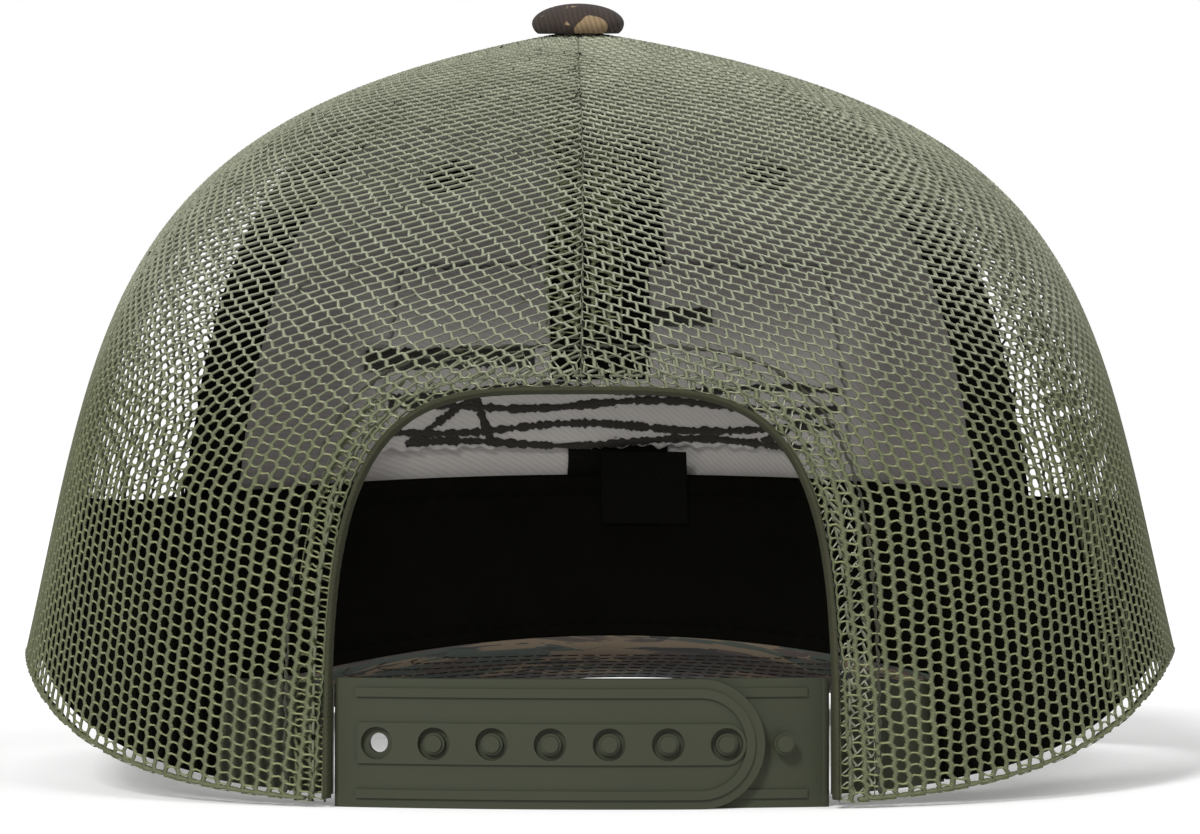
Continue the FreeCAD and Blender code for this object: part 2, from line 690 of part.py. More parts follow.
def strap_base(name, side, depth, tip, rib_rise):
    """Curved strip with a rolled root and a raised rib just inside its edge."""
    angle = math.degrees(axis_point(eval_formula(depth))[0])
    start = -angle if side > 0 else -D["strap_reach"]
    sweep = angle + D["strap_reach"]
    bottom = "%s + dims.strap_thick" % depth
    plate = boolean("Common", name + "_plate", sector(name + "_wall", depth, bottom, start, sweep),
                    tongue(name + "_outline", side, tip, "0", "dims.strap_root"))
    knuckle = upright(name + "_knuckle", -side, eval_formula(depth), "dims.knuckle_radius")
    rise = "%s - %s" % (depth, rib_rise)
    rib_start = start + D["rib_trim"] if side > 0 else start
    ring = boolean("Cut", name + "_ring",
                   tongue(name + "_rib_out", side, tip, "dims.rib_inset", "dims.strap_root"),
                   tongue(name + "_rib_in", side, tip, "dims.rib_inset + dims.rib_width",
                          "dims.strap_root + 2"))
    rib_wall = sector(name + "_rib_wall", rise, "%s + 0.1" % depth, rib_start, sweep - D["rib_trim"])
    rib = boolean("Common", name + "_rib", rib_wall, ring)
    return [plate, knuckle, rib]


# hole strap: outer, sewn at the left
strap_parts = strap_base("hs", 1, "dims.outer_depth", "dims.hole_tip", "dims.rib_rise")
strap_strip = boolean("Common", "hs_strip",
                      sector("hs_strip_wall", "dims.outer_depth - dims.rib_rise", "dims.outer_depth + 0.1",
                             D["strip_start"], D["strip_sweep"]),
                      tongue("hs_strip_outline", 1, "dims.strip_right", "0", "dims.strip_left",
                             half="dims.strip_half"))
strap_solid = fuse("hs_solid", strap_parts + [strap_strip])
drills = []
for k in range(int(D["snap_count"])):
    at = D["first_hole"] + k * D["snap_pitch"]
    drills.append(spoke("hs_hole_%d" % k, at, "dims.drill_start", "dims.drill_end", "dims.hole_radius"))
    drills.append(spoke("hs_recess_%d" % k, at, "dims.drill_start",
                        "dims.outer_depth - dims.rib_rise + dims.recess_depth", "dims.recess_radius"))
hole_strap = boolean("Cut", "hole_strap", strap_solid, fuse("hs_drills", drills))
finish("hole_strap", hole_strap, LEVEL)

# peg strap: inner, sewn at the right
peg_parts = strap_base("ps", -1, "dims.inner_depth", "dims.peg_tip", "dims.peg_rib_rise")
for k in range(1, int(D["snap_count"]) + 1):
    at = D["first_hole"] + k * D["snap_pitch"]
    peg_parts.append(spoke("ps_stem_%d" % k, at, "dims.inner_depth - dims.peg_head_start - 0.1",
                           "dims.inner_depth + 0.3", "dims.stem_peg_radius"))
    peg_parts.append(spoke("ps_head_%d" % k, at, "dims.inner_depth - dims.peg_top + dims.peg_round",
                           "dims.inner_depth - dims.peg_head_start", "dims.peg_head_radius"))
    peg_parts.append(spoke("ps_cap_%d" % k, at, "dims.inner_depth - dims.peg_top",
                           "dims.inner_depth - dims.peg_top + dims.peg_round + 0.1",
                           "dims.peg_head_radius - dims.peg_round + 0.1"))
finish("peg_strap", fuse("peg_strap", peg_parts), LEVEL)

# sewn tabs of both straps: they follow the crown and start just beyond the rolled roots
tab_near = azimuth_at_x(D["hinge_x"] - D["strap_thick"])
tab_far = azimuth_at_x(D["tab_end"])
start = D["hinge_x"] + D["knuckle_radius"] + D["knuckle_gap"]
for label, side, outer in (("hole_strap_tab", -1, D["tab_outer_depth"]),
                           ("peg_strap_tab", 1, D["tab_inner_depth"])):
    span = (tab_near, tab_far) if side > 0 else (180 - tab_far, 180 - tab_near)
    tab = strip(*span, outer, outer + D["strap_thick"], lambda phi: edge_height(phi) + D["tab_low"],
                lambda phi: D["tab_high"], 6)
    before = Part.makeBox(2 * start, 4 * D["strap_height"], 3 * D["strap_height"],
                          Vec(-start, axis_point(0)[2] - 2 * D["strap_height"], -D["strap_height"]))
    before.Placement = REST.inverse().multiply(LEVEL)
    add(label, cut_away(tab, before))

# ---------------------------------------------------------------- check and export
doc.recompute()
for thing in doc.Objects:
    if "Invalid" in thing.State or "Error" in thing.State:
        raise RuntimeError("%s is not computed: %s" % (thing.Name, thing.State))
for thing in doc.Objects:
    if thing.TypeId == "Part::Cut" and thing.Shape.Volume > thing.Base.Shape.Volume - 0.1:
        raise RuntimeError("%s cuts nothing" % thing.Name)
for piece in made:
    shape = piece.Shape
    if shape.isNull() or not shape.isValid() or shape.Volume <= 0:
        raise RuntimeError("%s has no valid shape" % piece.Label)
    size = shape.optimalBoundingBox()
    print("%-24s solids %d volume %9.1f  z %7.2f..%7.2f" % (piece.Label, len(shape.Solids), shape.Volume,
                                                           size.ZMin, size.ZMax))
    shape.exportStep(os.path.join("parts", piece.Label + ".step"))
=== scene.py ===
import bpy
import math
import numpy as np
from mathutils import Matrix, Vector


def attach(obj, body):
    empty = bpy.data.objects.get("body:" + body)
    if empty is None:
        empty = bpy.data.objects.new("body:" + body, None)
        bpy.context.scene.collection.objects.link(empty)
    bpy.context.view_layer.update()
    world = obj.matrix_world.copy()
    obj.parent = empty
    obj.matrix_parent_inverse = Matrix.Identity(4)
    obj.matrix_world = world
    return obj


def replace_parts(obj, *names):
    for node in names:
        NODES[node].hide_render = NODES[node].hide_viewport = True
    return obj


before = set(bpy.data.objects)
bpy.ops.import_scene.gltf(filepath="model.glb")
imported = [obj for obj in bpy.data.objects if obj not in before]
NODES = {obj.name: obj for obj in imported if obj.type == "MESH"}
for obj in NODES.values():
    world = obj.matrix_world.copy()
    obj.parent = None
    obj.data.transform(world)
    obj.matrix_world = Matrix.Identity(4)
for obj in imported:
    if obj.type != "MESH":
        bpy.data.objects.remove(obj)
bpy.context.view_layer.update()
PI = math.pi
BACK = -0.5 * PI

# ------------ the cap's own numbers, in mm
# Azimuths are measured from +X, round the button; the visor is at 90 degrees, the closure at -90.
PITCH = math.radians(5.8)
LIFT = 9.15
SHIFT = -44.69
HALF_WIDTH, HALF_LENGTH, LENGTH_SHIFT = 98.0, 92.5, 2.5
POWER, POWER_SHIFT = 2.2, 0.12
CROWN = 113.6
TOP_SLOPE = 0.161
TOP_SIDEWAYS, SIDEWAYS_POWER = -3.4, 8.0
# profile of the crown at the side, the front and the back
LEAN, WALL, REACH = (0.272, 0.08, 0.10), (65.4, 74.0, 52.0), (0.90, 0.86, 0.86)
SEAM_FR, SEAM_FL, SEAM_RR, SEAM_RL = (math.radians(a) for a in (39.0, 143.0, -30.0, 199.0))
EAR_ARCH, EAR_AZIMUTH, EAR_WIDTH = 12.5, 102.0, 27.5
VISOR_HOLD, VISOR_BLEND, EDGE_GAP = 50.0, 25.0, 0.15
ARCH_X, ARCH_Z, ARCH_POWER = 38.0, 61.0, 3.8
FACING, HEM, ALLOWANCE = 5.5, 1.6, 6.0
MESH_TOP, TWILL_TOP, ALLOWANCE_TOP = 3.0, 3.4, 13.0
BAND_TOP, BAND_FOLLOW, BAND_DROP, BAND_RAISE = 31.0, 0.56, 3.0, 1.6
VISOR_RADIUS, VISOR_SLOPE, VISOR_ROOT, VISOR_THICK = 206.0, math.radians(14.1), (93.0, -0.4), 3.8
HORN, HORN_OUT, HORN_BACK = math.radians(41.0), 3.4, 2.6
VISOR_SIDE, VISOR_CORNER, VISOR_TIP = (88.0, 98.0), 70.0, 176.0
VISOR_ROWS = [3.0 + 6.2 * row for row in range(8)]
EYELET_AZIMUTH, EYELET_HEIGHT = math.radians(64.5), 89.0
EYELETS = {"right": EYELET_AZIMUTH, "left": PI - EYELET_AZIMUTH}
EYELET_CLEAR = 2.9                # radius of the hole in the cloth, under the stitched ring
BUTTON_RADIUS, BUTTON_RISE, BUTTON_CENTRE = 7.6, 3.3, 0.95

# depths below the crown's outer face: one for the middle of a thread, two for a sheet's faces
MESH_DEPTH, ALLOWANCE_DEPTH, ROLL_DEPTH, EDGE_DEPTH = 0.45, 1.28, 0.75, 0.80
TWILL_BACK, LINING, TAPE = 0.8, (0.87, 1.52), (1.64, 1.96)
BACKING, BOBBIN_DEPTH, TAPE_OVER = (2.16, 2.34), 2.47, (2.62, 2.72)
BAND_LINING, BAND, LABEL_SHEET = (2.42, 2.86), (3.97, 4.02), (4.50, 4.78)
BESIDE_SEAM = 2.4                 # from a seam to its stitch row


def rest(points):
    """Cap frame in mm to the row frame in metres."""
    p = np.asarray(points, float)
    y = p[..., 1] * math.cos(PITCH) - p[..., 2] * math.sin(PITCH) + SHIFT
    z = p[..., 1] * math.sin(PITCH) + p[..., 2] * math.cos(PITCH) + LIFT
    return np.stack([p[..., 0], y, z], -1) / 1000.0


def three(values, s):
    """A value that changes smoothly from side to front and back with the azimuth's sine."""
    side, front, back = values
    return side + (front - back) / 2 * s + ((front + back) / 2 - side) * s * s


def profile(phi, v):
    """Radius and height of the crown's outer face."""
    c, s = np.cos(phi), np.sin(phi)
    power = POWER - POWER_SHIFT * s
    length = HALF_LENGTH + LENGTH_SHIFT * s
    base = (np.abs(c / HALF_WIDTH) ** power + np.abs(s / length) ** power) ** (-1 / power)
    wall = three(WALL, s)
    reach = three(REACH, s) * base
    lower = base - three(LEAN, s) * wall
    a, b, d, e = (1 - v) ** 3, 3 * v * (1 - v) ** 2, 3 * v * v * (1 - v), v ** 3
    radius = a * base + b * lower + d * reach
    height = b * wall + d * (CROWN - TOP_SLOPE * reach) + e * CROWN
    return radius, height


def lean(height):
    """The soft top leans a little to one side."""
    return TOP_SIDEWAYS * (np.maximum(height, 0.0) / CROWN) ** SIDEWAYS_POWER


def outer(phi, v):
    """Point of the crown's outer face, cap frame, mm; v runs from 0 at the base to 1 at the button."""
    r, h = profile(phi, v)
    return np.stack([r * np.cos(phi) + lean(h), r * np.sin(phi), h], -1)


def unit(vectors):
    return vectors / np.linalg.norm(vectors, axis=-1, keepdims=True)


def normal(phi, v):
    step = 1e-4
    here = outer(phi, v)
    return unit(np.cross(outer(phi + step, v) - here, outer(phi, v + step) - here))


def surface(phi, v, depth=0.0):
    """Point of the crown at a depth below its outer face, cap frame, mm."""
    phi, v = np.broadcast_arrays(np.asarray(phi, float), np.asarray(v, float))
    return outer(phi, v) - normal(phi, v) * np.asarray(depth)[..., None]


def bisect(test, shape, low, high):
    """Where the test turns from true to false, one value for each point."""
    low, high = np.full(shape, low), np.full(shape, high)
    for _ in range(30):
        mid = (low + high) / 2
        under = test(mid)
        low, high = np.where(under, mid, low), np.where(under, high, mid)
    return (low + high) / 2


def v_at_height(phi, height):
    phi = np.asarray(phi, float)
    return bisect(lambda v: profile(phi, v)[1] < height, phi.shape, -0.3, 0.97)


def v_at_top(phi, radius):
    phi = np.asarray(phi, float)
    return bisect(lambda v: profile(phi, v)[0] > radius, phi.shape, 0.5, 1.0)


def on_wall(x, z, facing_sign):
    """Azimuth and v of the crown point seen at (x, z) from behind (-1) or from the front (+1)."""
    x, z = np.asarray(x, float), np.asarray(z, float)
    phi = np.full(x.shape, facing_sign * PI / 2)
    for _ in range(6):
        v = v_at_height(phi, z)
        phi = facing_sign * np.arccos(np.clip((x - lean(z)) / profile(phi, v)[0], -1, 1))
    return phi, v_at_height(phi, z)


def visor_level(x, y, rise):
    """Height of the visor's surface that lies a rise above its underside."""
    bend = np.sqrt((VISOR_RADIUS + rise) ** 2 - x * x) - VISOR_RADIUS
    return VISOR_ROOT[1] - (y - VISOR_ROOT[0]) * math.tan(VISOR_SLOPE) + bend / math.cos(VISOR_SLOPE)


def visor_share(phi):
    """1 where the crown's edge rides on the visor, 0 where it is free, and degrees from the front."""
    away = np.abs((np.degrees(phi) - 90 + 180) % 360 - 180)
    return 1 - smooth(VISOR_HOLD, VISOR_HOLD + VISOR_BLEND, away), away


def ear_rise(away):
    return EAR_ARCH * np.exp(-((away - EAR_AZIMUTH) / EAR_WIDTH) ** 2)


def edge_height(phi):
    """Lower edge of the crown: on the visor in front, arched over the ears."""
    phi = np.asarray(phi, float)
    share, away = visor_share(phi)
    base = profile(phi, np.zeros_like(phi))[0]
    free = ear_rise(away)
    on_visor = visor_level(base * np.cos(phi), base * np.sin(phi), VISOR_THICK) + EDGE_GAP
    return share * on_visor + (1 - share) * free


def arch_norm(points, grow=0.0):
    """Under 1 inside the rear opening."""
    x, y, z = points[..., 0], points[..., 1], points[..., 2]
    n = ((np.abs(x) / (ARCH_X + grow)) ** ARCH_POWER
         + (np.clip(z, 0, None) / (ARCH_Z + grow)) ** ARCH_POWER) ** (1 / ARCH_POWER)
    return np.where(y < 0, n, 9.0)


def arch_path(grow, count=400):
    """Points (x, z) of the opening's edge from the left leg over the top to the right leg."""
    angle = np.linspace(PI, 0, count)
    power = 2 / ARCH_POWER
    x = (ARCH_X + grow) * np.sign(np.cos(angle)) * np.abs(np.cos(angle)) ** power
    z = (ARCH_Z + grow) * np.abs(np.sin(angle)) ** power
    return x, z


def smooth(low, high, x):
    """From 0 at low to 1 at high, level at both ends."""
    t = np.clip((x - low) / (high - low), 0, 1)
    return t * t * (3 - 2 * t)


# ------------ mesh building
class Builder:
    """Collects rings of points into one mesh."""

    def __init__(self):
        self.verts, self.faces, self.count = [], [], 0

    def rings(self, rings):
        """rings has shape (tubes, stations, sides, 3); each tube is closed with caps."""
        tubes, stations, sides, _ = rings.shape
        index = self.count + np.arange(tubes * stations * sides).reshape(tubes, stations, sides)
        a = index[:, :-1]
        b = index[:, 1:]
        quads = np.stack([a, np.roll(a, -1, 2), np.roll(b, -1, 2), b], -1).reshape(-1, 4)
        self.faces += quads.tolist()
        self.faces += index[:, 0, ::-1].tolist()
        self.faces += index[:, -1].tolist()
        self.verts.append(rings.reshape(-1, 3))
        self.count += tubes * stations * sides

    def object(self, name, material, slot):
        return mesh_object(name, rest(np.concatenate(self.verts)), self.faces, material, slot)


def mesh_object(name, verts, faces, material, slot):
    """A smooth-shaded piece of the crown."""
    mesh = bpy.data.meshes.new(name)
    mesh.from_pydata(verts.tolist(), [], faces)
    mesh.polygons.foreach_set("use_smooth", [True] * len(mesh.polygons))
    mesh.update()
    thing = link(name, mesh)
    mesh.materials.append(material)
    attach(thing, "crown")
    return thing


def tube_object(name, rings, material, slot, *nodes):
    """A piece made of one closed tube, in place of CAD nodes."""
    build = Builder()
    build.rings(rings[None])
    piece = build.object(name, material, slot)
    if nodes:
        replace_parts(piece, *nodes)
    return piece


def float_attribute(thing, name, values):
    layer = thing.data.attributes.new(name, "FLOAT", "POINT")
    layer.data.foreach_set("value", np.asarray(values, np.float32))


def distances(*columns):
    """Distance along a polyline at each of its points, from their coordinates."""
    steps = np.diff(np.stack(columns, -1), axis=0)
    return np.concatenate([[0], np.cumsum(np.linalg.norm(steps, axis=1))])


def resample(points, normals, places):
    """Points and normals of a polyline at distances along it."""
    along = distances(*points.T)
    pick = [np.stack([np.interp(places, along, values[:, k]) for k in range(3)], -1)
            for values in (points, normals)]
    return pick[0], unit(pick[1])


def length_of(points):
    return float(np.linalg.norm(np.diff(points, axis=0), axis=1).sum())


def tube_rings(points, normals, wide, high, sides=8):
    """Elliptic rings along paths of shape (..., stations, 3)."""
    forward = unit(np.gradient(points, axis=-2))
    across = unit(np.cross(forward, normals))
    up = np.cross(across, forward)
    angle = np.arange(sides) * 2 * PI / sides
    wide, high = np.asarray(wide)[..., None, None], np.asarray(high)[..., None, None]
    return (points[..., None, :] + up[..., None, :] * np.cos(angle)[:, None] * high
            + across[..., None, :] * np.sin(angle)[:, None] * wide)


def stitches(builder, points, normals, length=2.3, gap=0.8, radius=0.2, keep=None):
    """A row of machine stitches whose ends dip into the cloth."""
    starts = np.arange(0.3, length_of(points) - length, length + gap)
    if not len(starts):
        return
    share = np.array([0.0, 0.12, 0.5, 0.88, 1.0])
    places = (starts[:, None] + length * share).ravel()
    spots, ups = resample(points, normals, places)
    spots, ups = spots.reshape(-1, 5, 3), ups.reshape(-1, 5, 3)
    if keep is not None:
        wanted = keep(spots[:, 2])
        spots, ups = spots[wanted], ups[wanted]
    lift = np.array([-0.9, 0.25, 0.6, 0.25, -0.9]) * radius
    spots = spots + ups * lift[:, None]
    size = np.array([0.45, 0.95, 1.0, 0.95, 0.45]) * radius
    builder.rings(tube_rings(spots, ups, size, size, 6))


def crown_line(phi, v, depth=0.0):
    """Points of a line on the crown, and the outward directions there."""
    return surface(phi, v, depth), normal(*np.broadcast_arrays(phi, v))


def seam_line(azimuth, offset, low, high_radius, depth=0.0):
    """Line beside a seam at a distance in mm, from a height up to a radius."""
    v = np.linspace(float(v_at_height(azimuth, low)), float(v_at_top(azimuth, high_radius)), 160)
    return crown_line(azimuth + offset / profile(azimuth, v)[0], v, depth)


# ------------ materials
class Shader:
    """A small wrapper over a node material."""

    def __init__(self, name):
        self.material = bpy.data.materials.new(name)
        self.material.use_nodes = True
        self.tree = self.material.node_tree
        self.bsdf = self.tree.nodes["Principled BSDF"]
        self.coords = self.node("ShaderNodeTexCoord")

    def node(self, kind, **inputs):
        n = self.tree.nodes.new(kind)
        for key, value in inputs.items():
            self.put(n.inputs[key.replace("_", " ")], value)
        return n

    def put(self, socket, value):
        if isinstance(value, bpy.types.NodeSocket):
            self.tree.links.new(value, socket)
        elif isinstance(value, tuple) and socket.type == "RGBA" and len(value) == 3:
            socket.default_value = (*value, 1.0)
        else:
            socket.default_value = value

    def moved(self, offset=(0, 0, 0), turn=(0, 0, 0)):
        n = self.node("ShaderNodeMapping", Vector=self.coords.outputs["Object"])
        n.inputs["Location"].default_value = offset
        n.inputs["Rotation"].default_value = turn
        return n.outputs[0]

    def noise(self, scale, detail=3.0, distortion=0.0, offset=(0, 0, 0)):
        return self.node("ShaderNodeTexNoise", Vector=self.moved(offset), Scale=scale, Detail=detail,
                         Distortion=distortion).outputs[0]

    def wave(self, period_mm, turn=(0, 0, 0), distortion=1.0):
        """Bands along a turned X axis."""
        return self.node("ShaderNodeTexWave", Vector=self.moved(turn=turn), Scale=314.16 / period_mm,
                         Distortion=distortion, Detail=2.0).outputs[1]

    def ramp(self, fac, stops, constant=False):
        n = self.node("ShaderNodeValToRGB", Fac=fac)
        n.color_ramp.interpolation = "CONSTANT" if constant else "LINEAR"
        while len(n.color_ramp.elements) < len(stops):
            n.color_ramp.elements.new(0.5)
        for element, (place, colour) in zip(n.color_ramp.elements, stops):
            element.position = place
            element.color = (*colour, 1.0)
        return n.outputs[0]

    def mix(self, fac, a, b, blend="MIX"):
        n = self.tree.nodes.new("ShaderNodeMix")
        n.data_type = "RGBA"
        n.blend_type = blend
        self.put(n.inputs[0], fac)
        self.put(n.inputs[6], a)
        self.put(n.inputs[7], b)
        return n.outputs[2]

    def math(self, operation, a, b=0.0):
        n = self.tree.nodes.new("ShaderNodeMath")
        n.operation = operation
        self.put(n.inputs[0], a)
        self.put(n.inputs[1], b)
        return n.outputs[0]

    def attribute(self, name):
        n = self.tree.nodes.new("ShaderNodeAttribute")
        n.attribute_name = name
        return n.outputs["Fac"]

    def bump(self, height, strength, distance):
        n = self.node("ShaderNodeBump", Height=height, Strength=strength, Distance=distance)
        self.put(self.bsdf.inputs["Normal"], n.outputs[0])

    def ribs_with_painted_valley_shade(self, tone, rib, share, dark, strength, distance):
        """Raised ribs, with painted shade that darkens the valleys between them."""
        self.bump(rib, strength, distance)
        return self.mix(share, tone, self.mix(rib, (dark,) * 3, WHITE), "MULTIPLY")

    def done(self, colour, roughness, sheen=0.0, specular=0.4, metallic=0.0):
        for name, value in (("Base Color", colour), ("Roughness", roughness), ("Sheen Weight", sheen),
                            ("Specular IOR Level", specular), ("Metallic", metallic)):
            self.put(self.bsdf.inputs[name], value)
        return self.material


BIAS = (0.5, 0.4, 0.9)    # how a twill's ribs run across the axes
BLACK, WHITE = (0.0, 0.0, 0.0), (1.0, 1.0, 1.0)


def camo():
    """Four-colour woodland blotches on twill."""
    s = Shader("camo_twill")
    tan, green = (0.250, 0.180, 0.105), (0.045, 0.070, 0.050)
    brown, black = (0.070, 0.045, 0.034), (0.012, 0.011, 0.010)
    colour = s.ramp(s.noise(23, 4, 1.3, (0.3, 0.1, 0.7)), [(0, green), (0.49, tan)], True)
    for scale, bend, place, level, tone in ((27, 1.5, (2.3, 5.1, 1.7), 0.525, brown),
                                            (32, 1.9, (7.3, 0.9, 4.7), 0.60, black)):
        mask = s.ramp(s.noise(scale, 4, bend, place), [(0, BLACK), (level, WHITE)], True)
        colour = s.mix(mask, colour, tone)
    return s.done(s.ribs_with_painted_valley_shade(colour, s.wave(0.9, BIAS), 0.4, 0.5, 0.35, 0.0002), 0.85, 0.1, 0.25)


def button_cloth():
    """Brown twill with one paler blotch low on the back."""
    s = Shader("button_twill")
    centre, size = rest([TOP_SIDEWAYS + 2.9, -7.4, CROWN - 0.9]), 0.0034
    near = s.node("ShaderNodeMapping", Vector=s.coords.outputs["Object"])
    near.inputs["Scale"].default_value = (1 / size,) * 3
    near.inputs["Location"].default_value = tuple(-centre / size)
    ball = s.node("ShaderNodeTexGradient", Vector=near.outputs[0])
    ball.gradient_type = "SPHERICAL"
    edge = s.math("ADD", ball.outputs[1], s.math("MULTIPLY", s.noise(420, 3), 0.3))
    blotch = s.ramp(edge, [(0, BLACK), (0.20, WHITE)], True)
    brown = s.mix(s.noise(260, 3), (0.030, 0.021, 0.017), (0.062, 0.045, 0.037))
    colour = s.mix(blotch, brown, (0.270, 0.190, 0.110))
    rib = s.wave(0.8, (0.0, 0.3, 0.0))
    return s.done(s.ribs_with_painted_valley_shade(colour, rib, 0.5, 0.45, 0.35, 0.0002), 0.85, 0.05, 0.2)


def cloth(name, colour, rib=0.9, vary=0.12, rough=0.9, sheen=0.1, bump=0.3, gloss=0.2):
    """Ribbed cloth or thread; rib is the width of a rib in mm."""
    s = Shader(name)
    dark = tuple(c * (1 - vary) for c in colour)
    light = tuple(min(1.0, c * (1 + vary)) for c in colour)
    tone = s.mix(s.noise(90, 3), dark, light)
    return s.done(s.ribs_with_painted_valley_shade(tone, s.wave(rib, BIAS), 0.25, 0.6, bump, 0.00015), rough, sheen, gloss)


def interlining():
    """Stiff pale lining, with painted shade that turns it greyer towards the top and the sides."""
    s = Shader("buckram")
    place = s.node("ShaderNodeNewGeometry").outputs["Position"]
    parts = s.node("ShaderNodeSeparateXYZ", Vector=place).outputs
    above = s.node("ShaderNodeMapRange", Value=parts["Z"], From_Min=0.070, From_Max=0.086).outputs[0]
    aside = s.math("ABSOLUTE", parts["X"])
    beside = s.node("ShaderNodeMapRange", Value=aside, From_Min=0.038, From_Max=0.050).outputs[0]
    # painted shade: the pale lining is blended to grey above 70 mm and beyond 38 mm to either side
    tone = s.mix(s.math("MAXIMUM", above, beside), (0.50, 0.475, 0.45), (0.225, 0.208, 0.200))
    tone = s.mix(s.noise(90, 3), s.mix(0.10, tone, BLACK), tone)
    return s.done(s.ribs_with_painted_valley_shade(tone, s.wave(0.8, BIAS), 0.25, 0.6, 0.3, 0.00015), 0.9, 0.0, 0.1)


def yarn(name, pillar, thread, light):
    """Polyester knit: darker pillars, paler cross threads and hole edges, painted highlights on the upper
    threads, and painted shade under the threads and in the grooves of the twist.
    """
    s = Shader(name)
    shade = s.noise(130, 3)
    base = s.mix(shade, tuple(c * 0.8 for c in pillar), tuple(c * 1.15 for c in pillar))
    cross = s.mix(shade, thread, light)
    # painted highlight: cross threads turn much brighter where the high attribute is set
    cross = s.mix(s.attribute("high"), cross, s.mix(shade, (0.42, 0.44, 0.31), (0.76, 0.79, 0.60)))
    tone = s.mix(s.attribute("thread"), base, cross)
    tone = s.mix(s.math("MULTIPLY", s.attribute("rim"), 0.35), tone, cross)
    # painted shade: near black where the shade attribute is set, under the threads
    tone = s.mix(s.math("MULTIPLY", s.attribute("shade"), 0.85), tone, (0.010, 0.011, 0.006))
    strand = s.wave(0.35, (0.2, 0.9, 0.3), 4.0)
    # painted shade: darker grooves between the twisted strands
    tone = s.mix(0.45, tone, s.mix(strand, (0.45, 0.45, 0.42), WHITE), "MULTIPLY")
    s.bump(strand, 0.5, 0.00012)
    return s.done(tone, 0.55, 0.0, 0.3)


def plastic():
    """Moulded plastic with a fine grain and uneven gloss."""
    s = Shader("olive_plastic")
    tone = s.mix(s.noise(40, 3), (0.030, 0.034, 0.0195), (0.036, 0.040, 0.0235))
    s.bump(s.noise(900, 4), 0.10, 0.0001)
    rough = s.ramp(s.noise(120, 3), [(0.2, (0.40, 0.40, 0.40)), (0.8, (0.55, 0.55, 0.55))])
    return s.done(tone, rough, 0.0, 0.2)


def steel():
    s = Shader("plated_steel")
    s.bump(s.noise(600, 3), 0.05, 0.0001)
    return s.done(s.mix(s.noise(60, 2), (0.50, 0.50, 0.48), (0.60, 0.60, 0.58)), 0.35, 0.0, 0.5, 1.0)


CAMO = camo()
BUTTON_CAMO = button_cloth()
YARN = yarn("olive_yarn", (0.100, 0.115, 0.060), (0.205, 0.220, 0.105), (0.345, 0.355, 0.180))
PLASTIC = plastic()
STEEL = steel()
BUCKRAM = interlining()
BLACK_TAPE = cloth("black_tape", (0.0045, 0.0043, 0.0035), 0.8, 0.3, 0.95, 0.0, 0.3, 0.05)
BLACK_BAND = cloth("sweatband_cloth", (0.0030, 0.0028, 0.0018), 0.7, 0.3, 0.95, 0.0, 0.3, 0.04)
BINDING = cloth("binding", (0.040, 0.041, 0.024), 0.5, 0.25, 0.9, 0.0, 0.4, 0.1)
BOARD = cloth("visor_board", (0.7, 0.7, 0.68), 2.0, 0.05)
LABEL = cloth("woven_label", (0.0036, 0.0034, 0.0024), 0.4, 0.2, 0.9, 0.0, 0.3, 0.05)
MOTIF = cloth("motif_thread", (0.20, 0.165, 0.10), 0.45, 0.25, 0.45, 0.2, 0.6)
DARK_THREAD = cloth("dark_thread", (0.020, 0.018, 0.013), 0.45, 0.2, 0.5, 0.2, 0.6)
BROWN_THREAD = cloth("brown_thread", (0.085, 0.068, 0.045), 0.45, 0.3, 0.9, 0.0, 0.4, 0.1)
# olive cord, partly its own dark colour and partly painted shade of the facing's fold; the rear seams' thread
# shares it
CORD_AND_PAINTED_SHADE = cloth("seam_cord_and_painted_shade", (0.030, 0.030, 0.018), 0.45, 0.3, 0.6, 0.1, 0.6)
OLIVE_THREAD = cloth("olive_thread", (0.115, 0.125, 0.075), 0.3, 0.2, 0.5, 0.1, 0.4)

# ------------ the net
PITCH_U, PITCH_T = 2.35, 1.80     # width of a knitted column, height of a row
HIGH_FROM, HIGH_TO = 46.0, 82.0   # distances up a patch where holes start and end turning into diamonds
JOIN = 3e-4                       # gap between panels, as an angle
LOW_SWING, LOW_SLOPE, ADDED_SLOPE = 0.10, 0.16, 0.30
HIGH_PILLAR, THREAD_WIDTH = 0.48, 0.33
UNEVEN = 0.15                     # share of the slope in every other column low down


